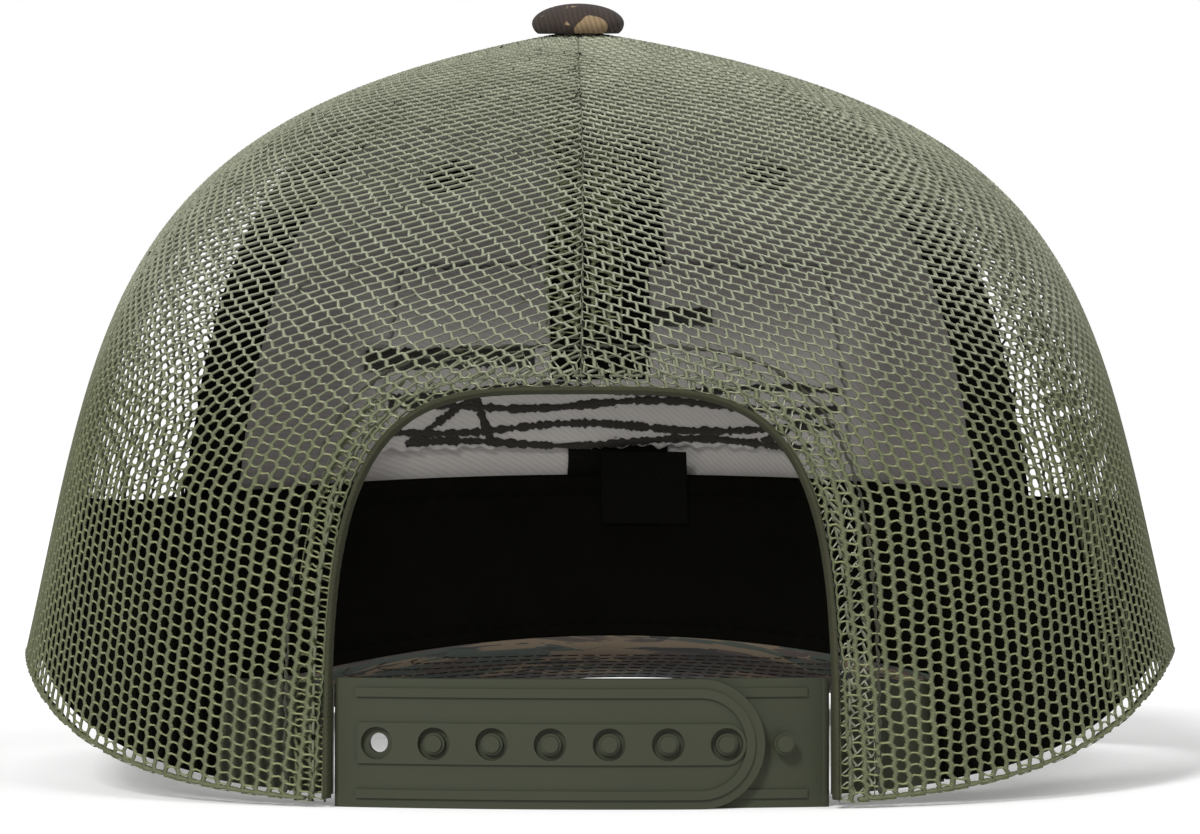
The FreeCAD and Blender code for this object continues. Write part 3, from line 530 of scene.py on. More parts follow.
class Gore:
    """Flat lattice of a panel: u across from its middle, t up from the base line, both in mm."""

    def __init__(self, start, end, arched=False):
        self.start, self.end, self.arched = start + JOIN, end - JOIN, arched
        self.centre = (start + end) / 2
        self.fine = np.linspace(-0.2, float(v_at_top(self.centre, MESH_TOP)), 700)
        self.radius, height = profile(self.centre, self.fine)
        along = distances(self.radius, height)
        self.along = along - np.interp(float(v_at_height(self.centre, 0.0)), self.fine, along)
        half = self.radius.max() * (end - start) / 2 * 1.12
        self.anchor = half if self.centre > PI / 2 else -half
        self.u_range = (-1.35 * half - 14, half) if self.anchor > 0 else (-half, 1.35 * half + 14)
        self.t_range = (-6.0, self.along[-1])
        self.turn = np.linspace(self.start, self.end, 200)
        self.low = v_at_height(self.turn, edge_height(self.turn))

    def narrowing(self, t):
        """The columns close up towards the rear edge with height."""
        return 1 - 0.24 * np.clip((t - 45.0) / 55.0, 0, 1)

    def skew(self, t):
        """Sideways slant of the columns towards the rear edge, in mm."""
        return math.copysign(0.26, self.anchor) * np.clip(t - 55.0, 0, 50)

    def to_surface(self, u, t):
        v = np.interp(t, self.along, self.fine)
        across = self.anchor + (u - self.anchor) * self.narrowing(t) + self.skew(t)
        return self.centre + across / np.interp(v, self.fine, self.radius), v

    def holds(self, u, t):
        """Whether a cell is outside the rear opening."""
        phi, v = self.to_surface(u, np.clip(t, self.along[0], self.along[-1]))
        return (not self.arched) | (arch_norm(outer(phi, v)) > 0.985)

    def clip(self, u, t):
        """The lattice point moved to the panel's nearest edge where it lies outside."""
        phi, v = self.to_surface(u, np.clip(t, self.along[0], self.along[-1]))
        phi = np.clip(phi, self.start, self.end)
        v = np.maximum(v, np.interp(phi, self.turn, self.low))
        if self.arched:
            for _ in range(3):
                p = outer(phi, v)
                n = arch_norm(p)
                inside = n < 1
                grow = 1 / np.clip(n, 0.3, None)
                z = np.where(inside, p[..., 2] * grow, p[..., 2])
                v = np.where(inside, v_at_height(phi, z), v)
                turn = np.arccos(np.clip((p[..., 0] * grow - lean(z)) / profile(phi, v)[0], -1, 1))
                turn = -turn if self.start < 0 else 2 * PI - turn
                phi = np.clip(np.where(inside, turn, phi), self.start, self.end)
        v = np.minimum(v, v_at_top(phi, MESH_TOP))
        across = (phi - self.centre) * np.interp(v, self.fine, self.radius)
        t = np.interp(v, self.fine, self.along)
        return self.anchor + (across - self.skew(t) - self.anchor) / self.narrowing(t), t


class Strip:
    """Lattice of a band that ends at straight edges."""

    def clip(self, u, t):
        return np.clip(u, *self.u_range), np.clip(t, *self.t_range)


class SeamStrip(Strip):
    """Lattice along a seam: u across it, t up it."""

    def __init__(self, azimuth, half, low, top_radius):
        self.azimuth = azimuth
        self.fine = np.linspace(float(v_at_height(azimuth, low)), float(v_at_top(azimuth, top_radius)), 500)
        self.radius, height = profile(azimuth, self.fine)
        self.along = distances(self.radius, height)
        self.u_range = (-half, half)
        self.t_range = (0.0, self.along[-1])

    def to_surface(self, u, t):
        v = np.interp(t, self.along, self.fine)
        return self.azimuth + u / np.interp(t, self.along, self.radius), v


class ArchStrip(Strip):
    """Lattice round the rear opening: u out from the edge, t along it."""

    def __init__(self, width):
        self.x, self.z = arch_path(0.0)
        self.along = distances(self.x, self.z)
        x, z = arch_path(1.0)
        self.out = unit(np.stack([x - self.x, z - self.z], -1))
        self.out[[0, -1]] = [[-1, 0], [1, 0]]
        self.u_range = (0.0, width)
        self.t_range = (0.0, self.along[-1])

    def to_surface(self, u, t):
        x = np.interp(t, self.along, self.x) + u * np.interp(t, self.along, self.out[:, 0])
        z = np.interp(t, self.along, self.z) + u * np.interp(t, self.along, self.out[:, 1])
        low = edge_height(np.full(x.shape, BACK)) + 0.3
        return on_wall(x, np.maximum(z, low), -1)


def openness(t):
    """0 where the knit has staggered holes, 1 where it has diamonds."""
    return smooth(HIGH_FROM, HIGH_TO, t)


def knots(columns, levels, phase, top_open, mirror):
    """Column number, level, height, openness, swing and drop at each knot of the lattice."""
    column, level = np.meshgrid(columns, levels, indexing="ij")
    t = (level * 0.5 + phase[1]) * PITCH_T
    share = openness(t)
    swing = LOW_SWING + (top_open - LOW_SWING) * share
    slope = np.where((share > 0.5) | (column % 2 == 0), 1.0, UNEVEN) * (LOW_SLOPE + ADDED_SLOPE * share)
    drop = slope * PITCH_U * (1 - swing) / 2 * (1 + mirror * share)
    return column, level, t, share, swing, drop


def cell_loops(columns, k_low, k_high, pillar, thread):
    """The ten knots round each hole, from its lower left corner."""
    cells = []
    for column in columns:
        at = np.arange(k_low + (k_low + column + 1) % 2, k_high - 2, 2)
        cells.append(np.stack([pillar(column, at), thread(0, column, at), thread(1, column, at),
                               pillar(column + 1, at), pillar(column + 1, at + 1),
                               pillar(column + 1, at + 2), thread(1, column, at + 2),
                               thread(0, column, at + 2), pillar(column, at + 2),
                               pillar(column, at + 1)], -1))
    return np.concatenate(cells)


def side_walls(loops, size):
    """Faces between two equal sheets of points, along the edges that belong to one face only."""
    pairs = np.stack([loops, np.roll(loops, -1, 1)], -1).reshape(-1, 2)
    key = np.sort(pairs, 1) @ [size + 1, 1]
    _, back, times = np.unique(key, return_inverse=True, return_counts=True)
    start, end = pairs[times[back] == 1].T
    return np.stack([end, start, start + size, end + size], -1)


def net(name, patch, depth, node, seed, top_open, phase=(0.0, 0.0), thick=0.27, low_pillar=0.74,
        mirror=0.0):
    """Knitted net: staggered holes between pillars low down, diamonds higher up, closed all round."""
    rng = np.random.default_rng(seed)
    first = math.floor(patch.u_range[0] / PITCH_U) - 1
    last = math.ceil(patch.u_range[1] / PITCH_U) + 1
    k_low = math.floor(patch.t_range[0] / (PITCH_T / 2)) - 2
    k_high = math.ceil(patch.t_range[1] / (PITCH_T / 2)) + 3
    levels = np.arange(k_low, k_high + 1)
    columns = np.arange(first, last + 1)

    def bent(u, t):
        """Uneven tension of the knit."""
        du = 0.15 * np.sin(u * 0.31 + t * 0.11 + seed) + 0.10 * np.sin(u * 0.9 - t * 0.47 + 2 * seed)
        dt = 0.14 * np.sin(t * 0.37 - u * 0.21 + 3 * seed) + 0.08 * np.sin(t * 1.1 + u * 0.6 + seed)
        jitter = (0.05 + 0.06 * openness(t)) * rng.standard_normal((2, *u.shape))
        return patch.clip(u + du + jitter[0], t + dt + jitter[1])

    # pillars stand between the columns and swing from side to side; cross threads join them
    edge, level, t0, _, swing, drop = knots(np.arange(first, last + 2), levels, phase, top_open, mirror)
    inward = np.where((level + edge) % 2 == 1, 1.0, -1.0)
    pillar_u = (edge - 0.5 + phase[0]) * PITCH_U + inward * swing * PITCH_U / 2
    pillars = bent(pillar_u, t0 + inward * drop)
    column, _, t1, share, swing, drop = knots(columns, levels, phase, top_open, mirror)
    arc = np.where(column % 2 == 0, 0.0, 0.10) * (1 - share)
    threads = [bent((column + phase[0] + side * 0.20 * (1 - swing)) * PITCH_U, t1 - side * 0.45 * drop + arc)
               for side in (-1, 1)]
    flat_u = np.concatenate([pillar_u.ravel(), *[((column + phase[0]) * PITCH_U).ravel()] * 2])
    flat_t = np.concatenate([t0.ravel(), t1.ravel(), t1.ravel()])
    u_all, t_all = (np.concatenate([pillars[k].ravel(), threads[0][k].ravel(), threads[1][k].ravel()])
                    for k in (0, 1))
    n_pillar, n_thread = edge.size, column.size

    def pillar(column, level):
        return (column - first) * len(levels) + (level - k_low)

    def thread(side, column, level):
        return n_pillar + side * n_thread + pillar(column, level)

    cells = cell_loops(columns, k_low, k_high, pillar, thread)
    ring_u, ring_t = u_all[cells], t_all[cells]
    area = 0.5 * np.abs((ring_u * np.roll(ring_t, -1, 1) - ring_t * np.roll(ring_u, -1, 1)).sum(1))
    wide = ring_u.max(1) - ring_u.min(1)
    good = (area > 0.30 * PITCH_U * PITCH_T) & (wide > 0.4 * PITCH_U) & (area < 2.0 * PITCH_U * PITCH_T)
    if isinstance(patch, Gore):
        good &= patch.holds(flat_u[cells].mean(1), flat_t[cells].mean(1))
    cells, ring_u, ring_t = cells[good], ring_u[good], ring_t[good]
    count = len(cells)

    # each hole is its cell drawn in by half a pillar and half a thread, with rounded corners
    mid_u, mid_t = ring_u.mean(1, keepdims=True), ring_t.mean(1, keepdims=True)
    share_m = openness(mid_t)
    vary = 1 + 0.08 * rng.standard_normal((count, 2, 1))
    scale_u = 1 - (low_pillar + (HIGH_PILLAR - low_pillar) * share_m) * vary[:, 0] / PITCH_U
    scale_t = 1 - THREAD_WIDTH * vary[:, 1] / PITCH_T
    corner = np.tile([0.86, 1.02, 1.02, 0.86, 1.0], 2)
    corner = 1 + (corner - 1) * (1 - 0.8 * share_m)
    hole_u = mid_u + (ring_u - mid_u) * scale_u * corner
    hole_t = mid_t + (ring_t - mid_t) * scale_t * corner

    # outer and inner faces of the yarn, thinner at the holes
    used, inverse = np.unique(cells.ravel(), return_inverse=True)
    loops = inverse.reshape(count, 10)
    base = len(used)
    is_thread = (used >= n_pillar).astype(float)
    share_v = openness(t_all[used])
    swell = thick * (1.0 - 0.40 * is_thread * (1 - share_v) + 0.15 * is_thread * share_v)
    phi, v = patch.to_surface(u_all[used], t_all[used])
    over = surface(phi, v, depth - swell * (1 + 0.35 * share_v))
    under = surface(phi, v, depth + swell)
    hole = surface(*patch.to_surface(hole_u.ravel(), hole_t.ravel()), depth)
    hole_index = 2 * base + np.arange(count * 10).reshape(count, 10)
    nxt = np.roll(np.arange(10), -1)
    top = np.stack([loops, loops[:, nxt], hole_index[:, nxt], hole_index], -1).reshape(-1, 4)
    low = np.stack([loops + base, hole_index, hole_index[:, nxt], loops[:, nxt] + base], -1).reshape(-1, 4)
    faces = np.concatenate([top, low, side_walls(loops, base)])
    turned = np.cross(over[loops[0, 3]] - over[loops[0, 0]], over[loops[0, 8]] - over[loops[0, 0]])
    if turned @ normal(phi[loops[0, 0]], v[loops[0, 0]]) <= 0:
        faces = faces[:, ::-1]
    thing = mesh_object(name, rest(np.concatenate([over, under, hole])), faces.tolist(), YARN, "olive_mesh")

    # attributes for the yarn's colours, with a painted highlight (high) and painted shade (shade)
    share_h = np.broadcast_to(share_m, (count, 10))
    tone = np.maximum([0.2, 1, 1, 0.2, 0] * 2, 0.55 * share_h)
    solid = np.maximum(is_thread, 0.55 * share_v)
    float_attribute(thing, "thread", np.concatenate([solid, solid, tone.ravel()]))
    # painted shade: dark on the upper rim of each hole, under the thread above, as if lit from above; a
    # little dark all round low down
    shade = np.array([0.2, 0, 0, 0.2, 0.8, 1, 1, 1, 1, 0.8]) * share_m + 0.30 * (1 - share_m)
    flat = np.zeros(2 * base)
    float_attribute(thing, "rim", np.concatenate([flat, np.ones(count * 10)]))
    # painted highlight: brighter threads towards the upper zone
    float_attribute(thing, "high", np.concatenate([share_v, share_v, share_h.ravel()]))
    # painted shade: a little on the thread ridges too, more towards the top
    float_attribute(thing, "shade", np.concatenate([flat + 0.1 * np.tile(share_v, 2), shade.ravel()]))
    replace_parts(thing, node)


def nets():
    """Four panels, the doubled facing of the opening and three seam allowances."""
    net("side_mesh_left_net", Gore(SEAM_FL, SEAM_RL), MESH_DEPTH, "side_mesh_left", 3, 0.66, mirror=-2.0)
    net("side_mesh_right_net", Gore(SEAM_RR, SEAM_FR), MESH_DEPTH, "side_mesh_right", 5, 0.60)
    net("rear_mesh_left_net", Gore(SEAM_RL, 1.5 * PI, arched=True), MESH_DEPTH, "rear_mesh_left", 7, 0.74,
        mirror=-1.6)
    net("rear_mesh_right_net", Gore(BACK, SEAM_RR, arched=True), MESH_DEPTH, "rear_mesh_right", 9, 0.45)
    net("opening_facing_net", ArchStrip(FACING), ALLOWANCE_DEPTH, "opening_facing", 11, 0.3,
        (0.5, 0.3), 0.24, 0.6)
    for label, azimuth, low in (("left", SEAM_RL, None), ("right", SEAM_RR, None),
                                ("centre", BACK, ARCH_Z + FACING + 1.8)):
        if low is None:
            low = float(edge_height(azimuth)) + HEM + 1.0
        net("seam_rear_" + label + "_net", SeamStrip(azimuth, ALLOWANCE, low, ALLOWANCE_TOP), ALLOWANCE_DEPTH,
            "seam_rear_" + label, 17, 0.5, (0.2, 0.4), 0.24, 0.6)


# ------------ edges and thread work of the mesh
def rolled_edges():
    """The folded lower edge of the mesh, lumpy from the knit."""
    end_by_opening = float(on_wall(ARCH_X + FACING + 1.0, 1.0, -1)[0]) - 0.04
    for label, start, end in (("right", end_by_opening, SEAM_FR), ("left", SEAM_FL, PI - end_by_opening)):
        phi = np.linspace(start, end, 520)
        points, ups = crown_line(phi, v_at_height(phi, edge_height(phi) + 0.45), ROLL_DEPTH)
        lumps = 1 + 0.16 * np.sin(np.linspace(0, length_of(points) / PITCH_U * 2 * PI, 520))
        roll = tube_object("hem_roll_" + label, tube_rings(points, ups, 0.34 * lumps, 0.62 * lumps), YARN,
                           "olive_mesh", "hem_" + label)
        for name, value in (("thread", 0.1), ("rim", 0), ("high", 0), ("shade", 0)):
            float_attribute(roll, name, np.full(520 * 8, value))


def binding():
    """Narrow bound edge of the rear opening."""
    x, z = arch_path(-0.42, 300)
    points, ups = crown_line(*on_wall(x, np.maximum(z, 0.9), -1), EDGE_DEPTH)
    places = np.linspace(0, length_of(points), 420)
    points, ups = resample(points, ups, places)
    ripple = 1 + 0.05 * np.sin(places * 2.6) + 0.04 * np.sin(places * 0.7)
    across = unit(np.cross(unit(np.gradient(points, axis=0)), ups))
    angle = np.arange(12) * PI / 6
    wide = 0.40 * np.sign(np.sin(angle)) * np.abs(np.sin(angle)) ** 0.6
    high = 1.08 * np.sign(np.cos(angle)) * np.abs(np.cos(angle)) ** 0.5
    ring = (points[:, None] + ups[:, None] * high[:, None] * ripple[:, None, None]
            + across[:, None] * wide[:, None])
    tube_object("opening_edge_binding", ring, BINDING, "olive_binding", "opening_binding")


def arch_line(grow, depth=0.0):
    """Line round the rear opening, at a distance outside its edge."""
    x, z = arch_path(grow, 500)
    phi, v = on_wall(x, np.maximum(z, 1.5), -1)
    return crown_line(phi, v, depth)


def mesh_stitching():
    """Cord along the facing, its dark tone partly painted shade of the fold, stitch row beside the opening,
    thread in the rear seams.
    """
    points, ups = arch_line(FACING + 0.4, 0.5)
    places = np.arange(0, length_of(points), 0.45)
    points, ups = resample(points, ups, places)
    rng = np.random.default_rng(31)
    side = unit(np.cross(np.gradient(points, axis=0), ups))
    points = points + side * (0.12 * np.sin(places * 1.3) + 0.08 * np.sin(places * 3.1))[:, None]
    lumps = 0.27 * (1 + 0.35 * np.sin(places * 2.6) + 0.15 * rng.standard_normal(len(places)))
    # the cord's dark tone is partly painted shade along the facing's fold
    tube_object("opening_stitch_row", tube_rings(points, ups, lumps, lumps * 0.9), CORD_AND_PAINTED_SHADE, "dark_thread")
    olive = Builder()
    stitches(olive, *arch_line(1.4), 1.9, 0.9, 0.2)
    olive.object("mesh_topstitch", OLIVE_THREAD, "olive_mesh")
    valley = Builder()
    for azimuth, low in ((SEAM_RL, None), (SEAM_RR, None), (BACK, ARCH_Z + 0.5)):
        low = float(edge_height(azimuth)) + 0.5 if low is None else low
        stitches(valley, *seam_line(azimuth, 0.0, low, 4.0, 0.75), 1.5, 0.15, 0.26)
    valley.object("mesh_seam_thread", CORD_AND_PAINTED_SHADE, "dark_thread")


# ------------ cloth layers of the front
def layer(name, top, low, material, node, slot, keep=None):
    """Closed sheet between two grids of points in mm; keep marks the cells that are cloth."""
    rows, columns = top.shape[:2]
    index = np.arange(rows * columns).reshape(rows, columns)
    quads = np.stack([index[:-1, :-1], index[1:, :-1], index[1:, 1:], index[:-1, 1:]], -1)
    quads = quads.reshape(-1, 4) if keep is None else quads[keep]
    used, inverse = np.unique(quads, return_inverse=True)
    quads = inverse.reshape(-1, 4)
    over, under = top.reshape(-1, 3)[used], low.reshape(-1, 3)[used]
    facing = np.cross(over[quads[0, 1]] - over[quads[0, 0]], over[quads[0, 3]] - over[quads[0, 0]])
    if facing @ (over[quads[0, 0]] - under[quads[0, 0]]) < 0:
        quads = quads[:, ::-1]
    faces = np.concatenate([quads, quads[:, ::-1] + len(used), side_walls(quads, len(used))])
    piece = mesh_object(name, rest(np.concatenate([over, under])), faces.tolist(), material, slot)
    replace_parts(piece, node)


def crown_layer(name, phi, v, outside, inside, *rest_of_layer):
    """Closed sheet between two depths below the crown's outer face."""
    layer(name, surface(phi, v, outside), surface(phi, v, inside), *rest_of_layer)


def gaussian(away, width):
    return np.exp(-(away / width) ** 2)


def crown_grid(start, end, low, top_radius, across, up):
    """Azimuth and v of a gore's grid between a lower height and a radius at the top."""
    turn = np.linspace(start, end, across)
    first, last = v_at_height(turn, low(turn)), v_at_top(turn, top_radius)
    share = np.linspace(0, 1, up)
    return turn[:, None] + 0 * share, first[:, None] + (last - first)[:, None] * share


def front_layers():
    """Twill panels with rolled, puckered seams, and the stiff lining behind them."""
    for side, start, end in (("right", SEAM_FR, PI / 2), ("left", PI / 2, SEAM_FL)):
        phi, v = crown_grid(start + JOIN, end - JOIN, edge_height, TWILL_TOP, 150, 170)
        radius, height = profile(phi, v)
        near = np.minimum(phi - start, end - phi) * radius
        roll = 0.42 * gaussian(near, 0.55)
        valley = 0.13 * gaussian(near - BESIDE_SEAM, 0.4)
        pucker = 0.08 * gaussian(near, 3.4) * np.sin(height * 1.05 + 1.2 * np.sin(height * 0.13))
        slack = 0.09 * np.sin(phi * 11 + height * 0.05) * smooth(3, 9, near)
        centre = outer(EYELETS[side], v_at_height(EYELETS[side], EYELET_HEIGHT))
        cells = outer((phi[:-1, :-1] + phi[1:, 1:]) / 2, (v[:-1, :-1] + v[1:, 1:]) / 2)
        keep = np.linalg.norm(cells - centre, axis=-1) > EYELET_CLEAR
        crown_layer("front_twill_" + side, phi, v, roll + valley + pucker + slack, TWILL_BACK, CAMO,
                    "front_panel_" + side, "camo_twill", keep)
        crown_layer("front_lining_" + side, phi, v, LINING[0],
                    LINING[1] + 0.03 * np.sin(phi * 90) * np.sin(height * 0.7), BUCKRAM,
                    "buckram_" + side, "buckram", keep)


def seam_tapes():
    """Tapes over the inside of the front seams, puffed between their stitch rows."""
    for side, azimuth, half, top in (("centre", PI / 2, 9.5, 10.5), ("right", SEAM_FR, 7.0, 20.0),
                                     ("left", SEAM_FL, 7.0, 20.0)):
        first = float(v_at_height(azimuth, float(edge_height(azimuth)) + 0.6))
        v, across = np.meshgrid(np.linspace(first, float(v_at_top(azimuth, top)), 150),
                                np.linspace(-1, 1, 25), indexing="ij")
        radius, height = profile(azimuth, v)
        wavy = 1 + 0.02 * np.sin(height * 0.5) * across
        phi = azimuth + across * half * wavy / radius
        puff = 0.14 * (1 - gaussian(np.abs(across) * half - half + 1.8, 0.5))
        crown_layer("front_tape_" + side, phi, v, TAPE[0], TAPE[1] + puff, BLACK_TAPE,
                    "seam_tape_front_" + side, "black_tape")


# ------------ front, visor and motif
def front_stitching():
    """Rows on the twill beside its seams: both sides in the middle, the front side at the mesh."""
    build = Builder()
    for azimuth, top, sides in ((SEAM_FR, 12.0, (1,)), (SEAM_FL, 12.0, (-1,)), (PI / 2, 9.5, (-1, 1))):
        for side in sides:
            low = float(edge_height(azimuth)) + 1.0
            stitches(build, *seam_line(azimuth, side * BESIDE_SEAM, low, top))
    build.object("front_topstitch", DARK_THREAD, "dark_thread")


def bezier(poles, t):
    a, b, c, d = (np.asarray(p, float) for p in poles)
    t = t[:, None]
    return a * (1 - t) ** 3 + 3 * b * t * (1 - t) ** 2 + 3 * c * t * t * (1 - t) + d * t ** 3


def visor_outline(horn, shrink, count):
    """Plan of a line parallel to the visor's free edge, from the place of its right horn."""
    root = horn + [HORN_OUT - shrink, shrink - HORN_BACK]
    tip = VISOR_TIP - shrink
    poles = [root, (VISOR_SIDE[0] - shrink, VISOR_SIDE[1]), (VISOR_CORNER - shrink, tip), (0.0, tip)]
    right = bezier(poles, np.linspace(0, 1, count))
    return np.concatenate([right, right[-2::-1] * [-1, 1]])


def visor_row(shrink):
    return visor_outline(outer(HORN, 0.0)[:2], shrink, 200)


def visor_line(plan, rise, sign):
    """Points of a line on the visor's top (+1) or underside (-1), and the outward directions there."""
    x, y = plan[:, 0], plan[:, 1]
    points = np.stack([x, y, visor_level(x, y, rise)], -1)
    step = 0.01
    slope_x = (visor_level(x + step, y, rise) - points[:, 2]) / step
    slope_y = (visor_level(x, y + step, rise) - points[:, 2]) / step
    return points, sign * unit(np.stack([-slope_x, -slope_y, np.ones_like(x)], -1))


def outside_crown(points):
    """True for the points of the visor that the crown doesn't cover."""
    phi = np.arctan2(points[..., 1], points[..., 0])
    v = v_at_height(phi, points[..., 2])
    return np.hypot(points[..., 0], points[..., 1]) > profile(phi, v)[0] + 0.8


VISOR_TUCK, VISOR_REACH = 2.2, 80.0
ROW_SINK, ROW_WIDTH, EDGE_ROLL, EDGE_WIDTH = 0.16, 1.1, 0.75, 0.9
# each cover's outer face, its inner face, and the height where it meets the other round the edge
COVERS = (("top", 1.0, VISOR_THICK, 3.02, 1.93), ("under", -1.0, 0.0, 0.78, 1.87))


def visor_covers():
    """Top and bottom cloth of the visor, drawn in at each stitch row and rolled at the free edge."""
    turn = np.linspace(HORN, PI - HORN, 241)
    base = profile(turn, 0.0)[0]
    level = visor_level(base * np.cos(turn), base * np.sin(turn), 0.0)
    inner = surface(turn, v_at_height(turn, level), VISOR_TUCK)[:, :2]
    edge = visor_outline(inner[0], 0.0, 121)
    reach = np.concatenate([[0.0, 0.25, 0.6, 0.8, 1.2, 2.0], np.linspace(3.0, VISOR_REACH, 120)])
    reach = reach / VISOR_REACH
    plan = edge[:, None] * (1 - reach[:, None]) + inner[:, None] * reach[:, None]
    inset = np.linalg.norm(plan - edge[:, None], axis=-1)
    drawn = 0.0
    for shrink in VISOR_ROWS:
        near = np.min([np.linalg.norm(plan - point, axis=-1) for point in visor_row(shrink)[::4]], 0)
        drawn = drawn + gaussian(near, ROW_WIDTH)
    roll = np.clip(1 - inset / EDGE_WIDTH, 0, 1) ** 2
    x, y = plan[..., 0], plan[..., 1]
    for label, sign, face, far, middle in COVERS:
        shown = visor_level(x, y, face) - sign * (ROW_SINK * drawn + EDGE_ROLL * roll)
        hidden = np.where(inset < 0.85, visor_level(x, y, middle), visor_level(x, y, far))
        layer("visor_cloth_" + label, np.stack([x, y, shown], -1), np.stack([x, y, hidden], -1),
              CAMO, "visor_" + label + "_cover", "camo_twill")


def visor_stitching():
    for label, rise, sign, thread, size in (("top", VISOR_THICK, 1.0, DARK_THREAD, 0.19),
                                            ("under", 0.0, -1.0, BROWN_THREAD, 0.10)):
        build = Builder()
        for shrink in VISOR_ROWS:
            stitches(build, *visor_line(visor_row(shrink), rise, sign), 2.4, 0.9, size, outside_crown)
        build.object("visor_rows_" + label, thread, "dark_thread")


# corners of the motif's ridge, as seen from the front
RIDGE = [(-33.5, 40.0), (-16.5, 60.0), (-11.5, 54.5), (2.0, 73.5), (14.0, 56.0), (19.5, 61.0), (35.5, 40.0)]


def front_curve(corners, step):
    """Azimuth and v along straight runs between corners (x, z) on the front."""
    x, z = np.array(corners, float).T
    along = distances(x, z)
    places = np.arange(0, along[-1], step)
    return on_wall(np.interp(places, along, x), np.interp(places, along, z), 1)


SATIN_STEP, SATIN_THREAD, SATIN_HEIGHT = 0.13, 0.52, 0.62


def satin(build, corners, half):
    """Satin-stitch column: threads laid across a line on the front panels."""
    points, ups = crown_line(*front_curve(corners, SATIN_STEP))
    forward = unit(np.gradient(points, axis=0))
    kernel = np.ones(9) / 9
    forward = unit(np.stack([np.convolve(np.pad(forward[:, k], 4, "edge"), kernel, "valid")
                             for k in range(3)], -1))
    across = unit(np.cross(forward, ups))
    count = len(points)
    end = np.minimum(np.arange(count), np.arange(count)[::-1]) * SATIN_STEP
    width = half * np.sqrt(np.clip(end / 0.9, 0.05, 1))
    q = np.linspace(-1, 1, 11)
    strand = 0.07 * np.cos(np.arange(count) * SATIN_STEP / SATIN_THREAD * 2 * PI)
    rise = (SATIN_HEIGHT + strand[:, None]) * np.sqrt(np.clip(1 - q ** 4, 0, 1)) + 0.02
    top = points[:, None] + across[:, None] * (q * width[:, None])[..., None] + ups[:, None] * rise[..., None]
    low = points[:, None] + across[:, None] * (q[::-5] * width[:, None])[..., None] - ups[:, None] * 0.05
    build.rings(np.concatenate([top, low], 1)[None])


def motif():
    """A plain ridge with bars below and beside it."""
    build = Builder()
    satin(build, RIDGE, 2.5)
    satin(build, [(-46.0, 54.0), (-28.0, 54.0)], 2.3)
    for low, high, half in ((33.0, 35.4, 38.0), (28.6, 31.0, 30.0)):
        level = (low + high) / 2
        satin(build, [(-half, level), (half, level)], (high - low) / 2)
    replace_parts(build.object("front_motif_satin", MOTIF, "motif_thread"), "front_embroidery")


def motif_reverse():
    """Ragged bobbin-side outlines and patches on the inside of the backing."""
    rng = np.random.default_rng(23)
    build = Builder()
    lines = []
    for level, half in ((47.5, 43.0), (44.6, 43.0), (40.2, 42.0), (37.3, 40.0)):
        lines.append([(x, level + 0.8 * math.sin(x * 0.13 + level)) for x in np.linspace(-half, half, 12)])
    for x0, z0, x1, z1 in ((-40, 37.5, -27, 46.5), (-27, 46.5, -24, 37.5), (28, 37.5, 40, 44.5)):
        lines.append([(x0, z0), (x1, z1)])
    traces = [(corners, 0.80, 0.25, 0.13) for corners in lines]
    traces += [([(-47.0, 54.0), (-15.0, 54.0)], 2.4, 0.10, 0.12),
               ([(6.0, 61.6), (19.0, 61.6)], 2.2, 0.10, 0.12)]
    for corners, half, ragged, thick in traces:
        phi, v = front_curve(corners, 0.5)
        on_backing = profile(phi, v)[1] > 36.6
        points, ups = crown_line(phi[on_backing], v[on_backing], BOBBIN_DEPTH)
        wide = half * (1 + ragged * rng.standard_normal(len(points)))
        wide = np.clip(wide, 0.35, 1.3) if half < 1 else wide
        build.rings(tube_rings(points, ups, wide, thick, 6)[None])
    build.object("motif_bobbin_lines", DARK_THREAD, "dark_thread")


LABEL_HALF, LABEL_ASIDE, LABEL_LOW, LABEL_HIGH = 8.5, 5.5, 22.0, 36.0
BACKING_SWEEP, BACKING_LOW, BACKING_TALL = math.radians(29), 36.4, 35.2


def woven_label():
    """Label sewn down at its lower edge, curling a little at its upper corners."""
    across, height = np.meshgrid(np.linspace(-LABEL_HALF, LABEL_HALF, 35),
                                 np.linspace(LABEL_LOW, LABEL_HIGH, 41), indexing="ij")
    phi = PI / 2 - (LABEL_ASIDE + across) / HALF_LENGTH
    curl = 0.30 * smooth(29.0, LABEL_HIGH, height) * (0.4 + 0.6 * (across / LABEL_HALF) ** 2)
    fold = 0.12 * gaussian(np.abs(across) - 8.0, 0.5)
    crown_layer("woven_label", phi, v_at_height(phi, height), LABEL_SHEET[0] + curl,
                LABEL_SHEET[1] + curl + fold, LABEL, "size_label", "woven_label")


def motif_backing():
    """Soft backing of the motif, torn off unevenly round its edges."""
    turn = np.linspace(PI / 2 - BACKING_SWEEP, PI / 2 + BACKING_SWEEP, 160)[:, None]
    ragged = 0.35 * np.sin(turn * 160) + 0.25 * np.sin(turn * 71)
    share = np.linspace(0, 1, 80)
    height = BACKING_LOW + ragged * (1 - 2 * share) + BACKING_TALL * share
    phi = turn + 0.004 * np.sin(height * 2.1) * np.sign(turn - PI / 2)
    wave = 0.03 * np.sin(phi * 70) * np.sin(height * 0.6)
    crown_layer("motif_backing", phi, v_at_height(phi, height), BACKING[0] + wave, BACKING[1] + wave,
                BUCKRAM, "embroidery_backing", "white_backing")


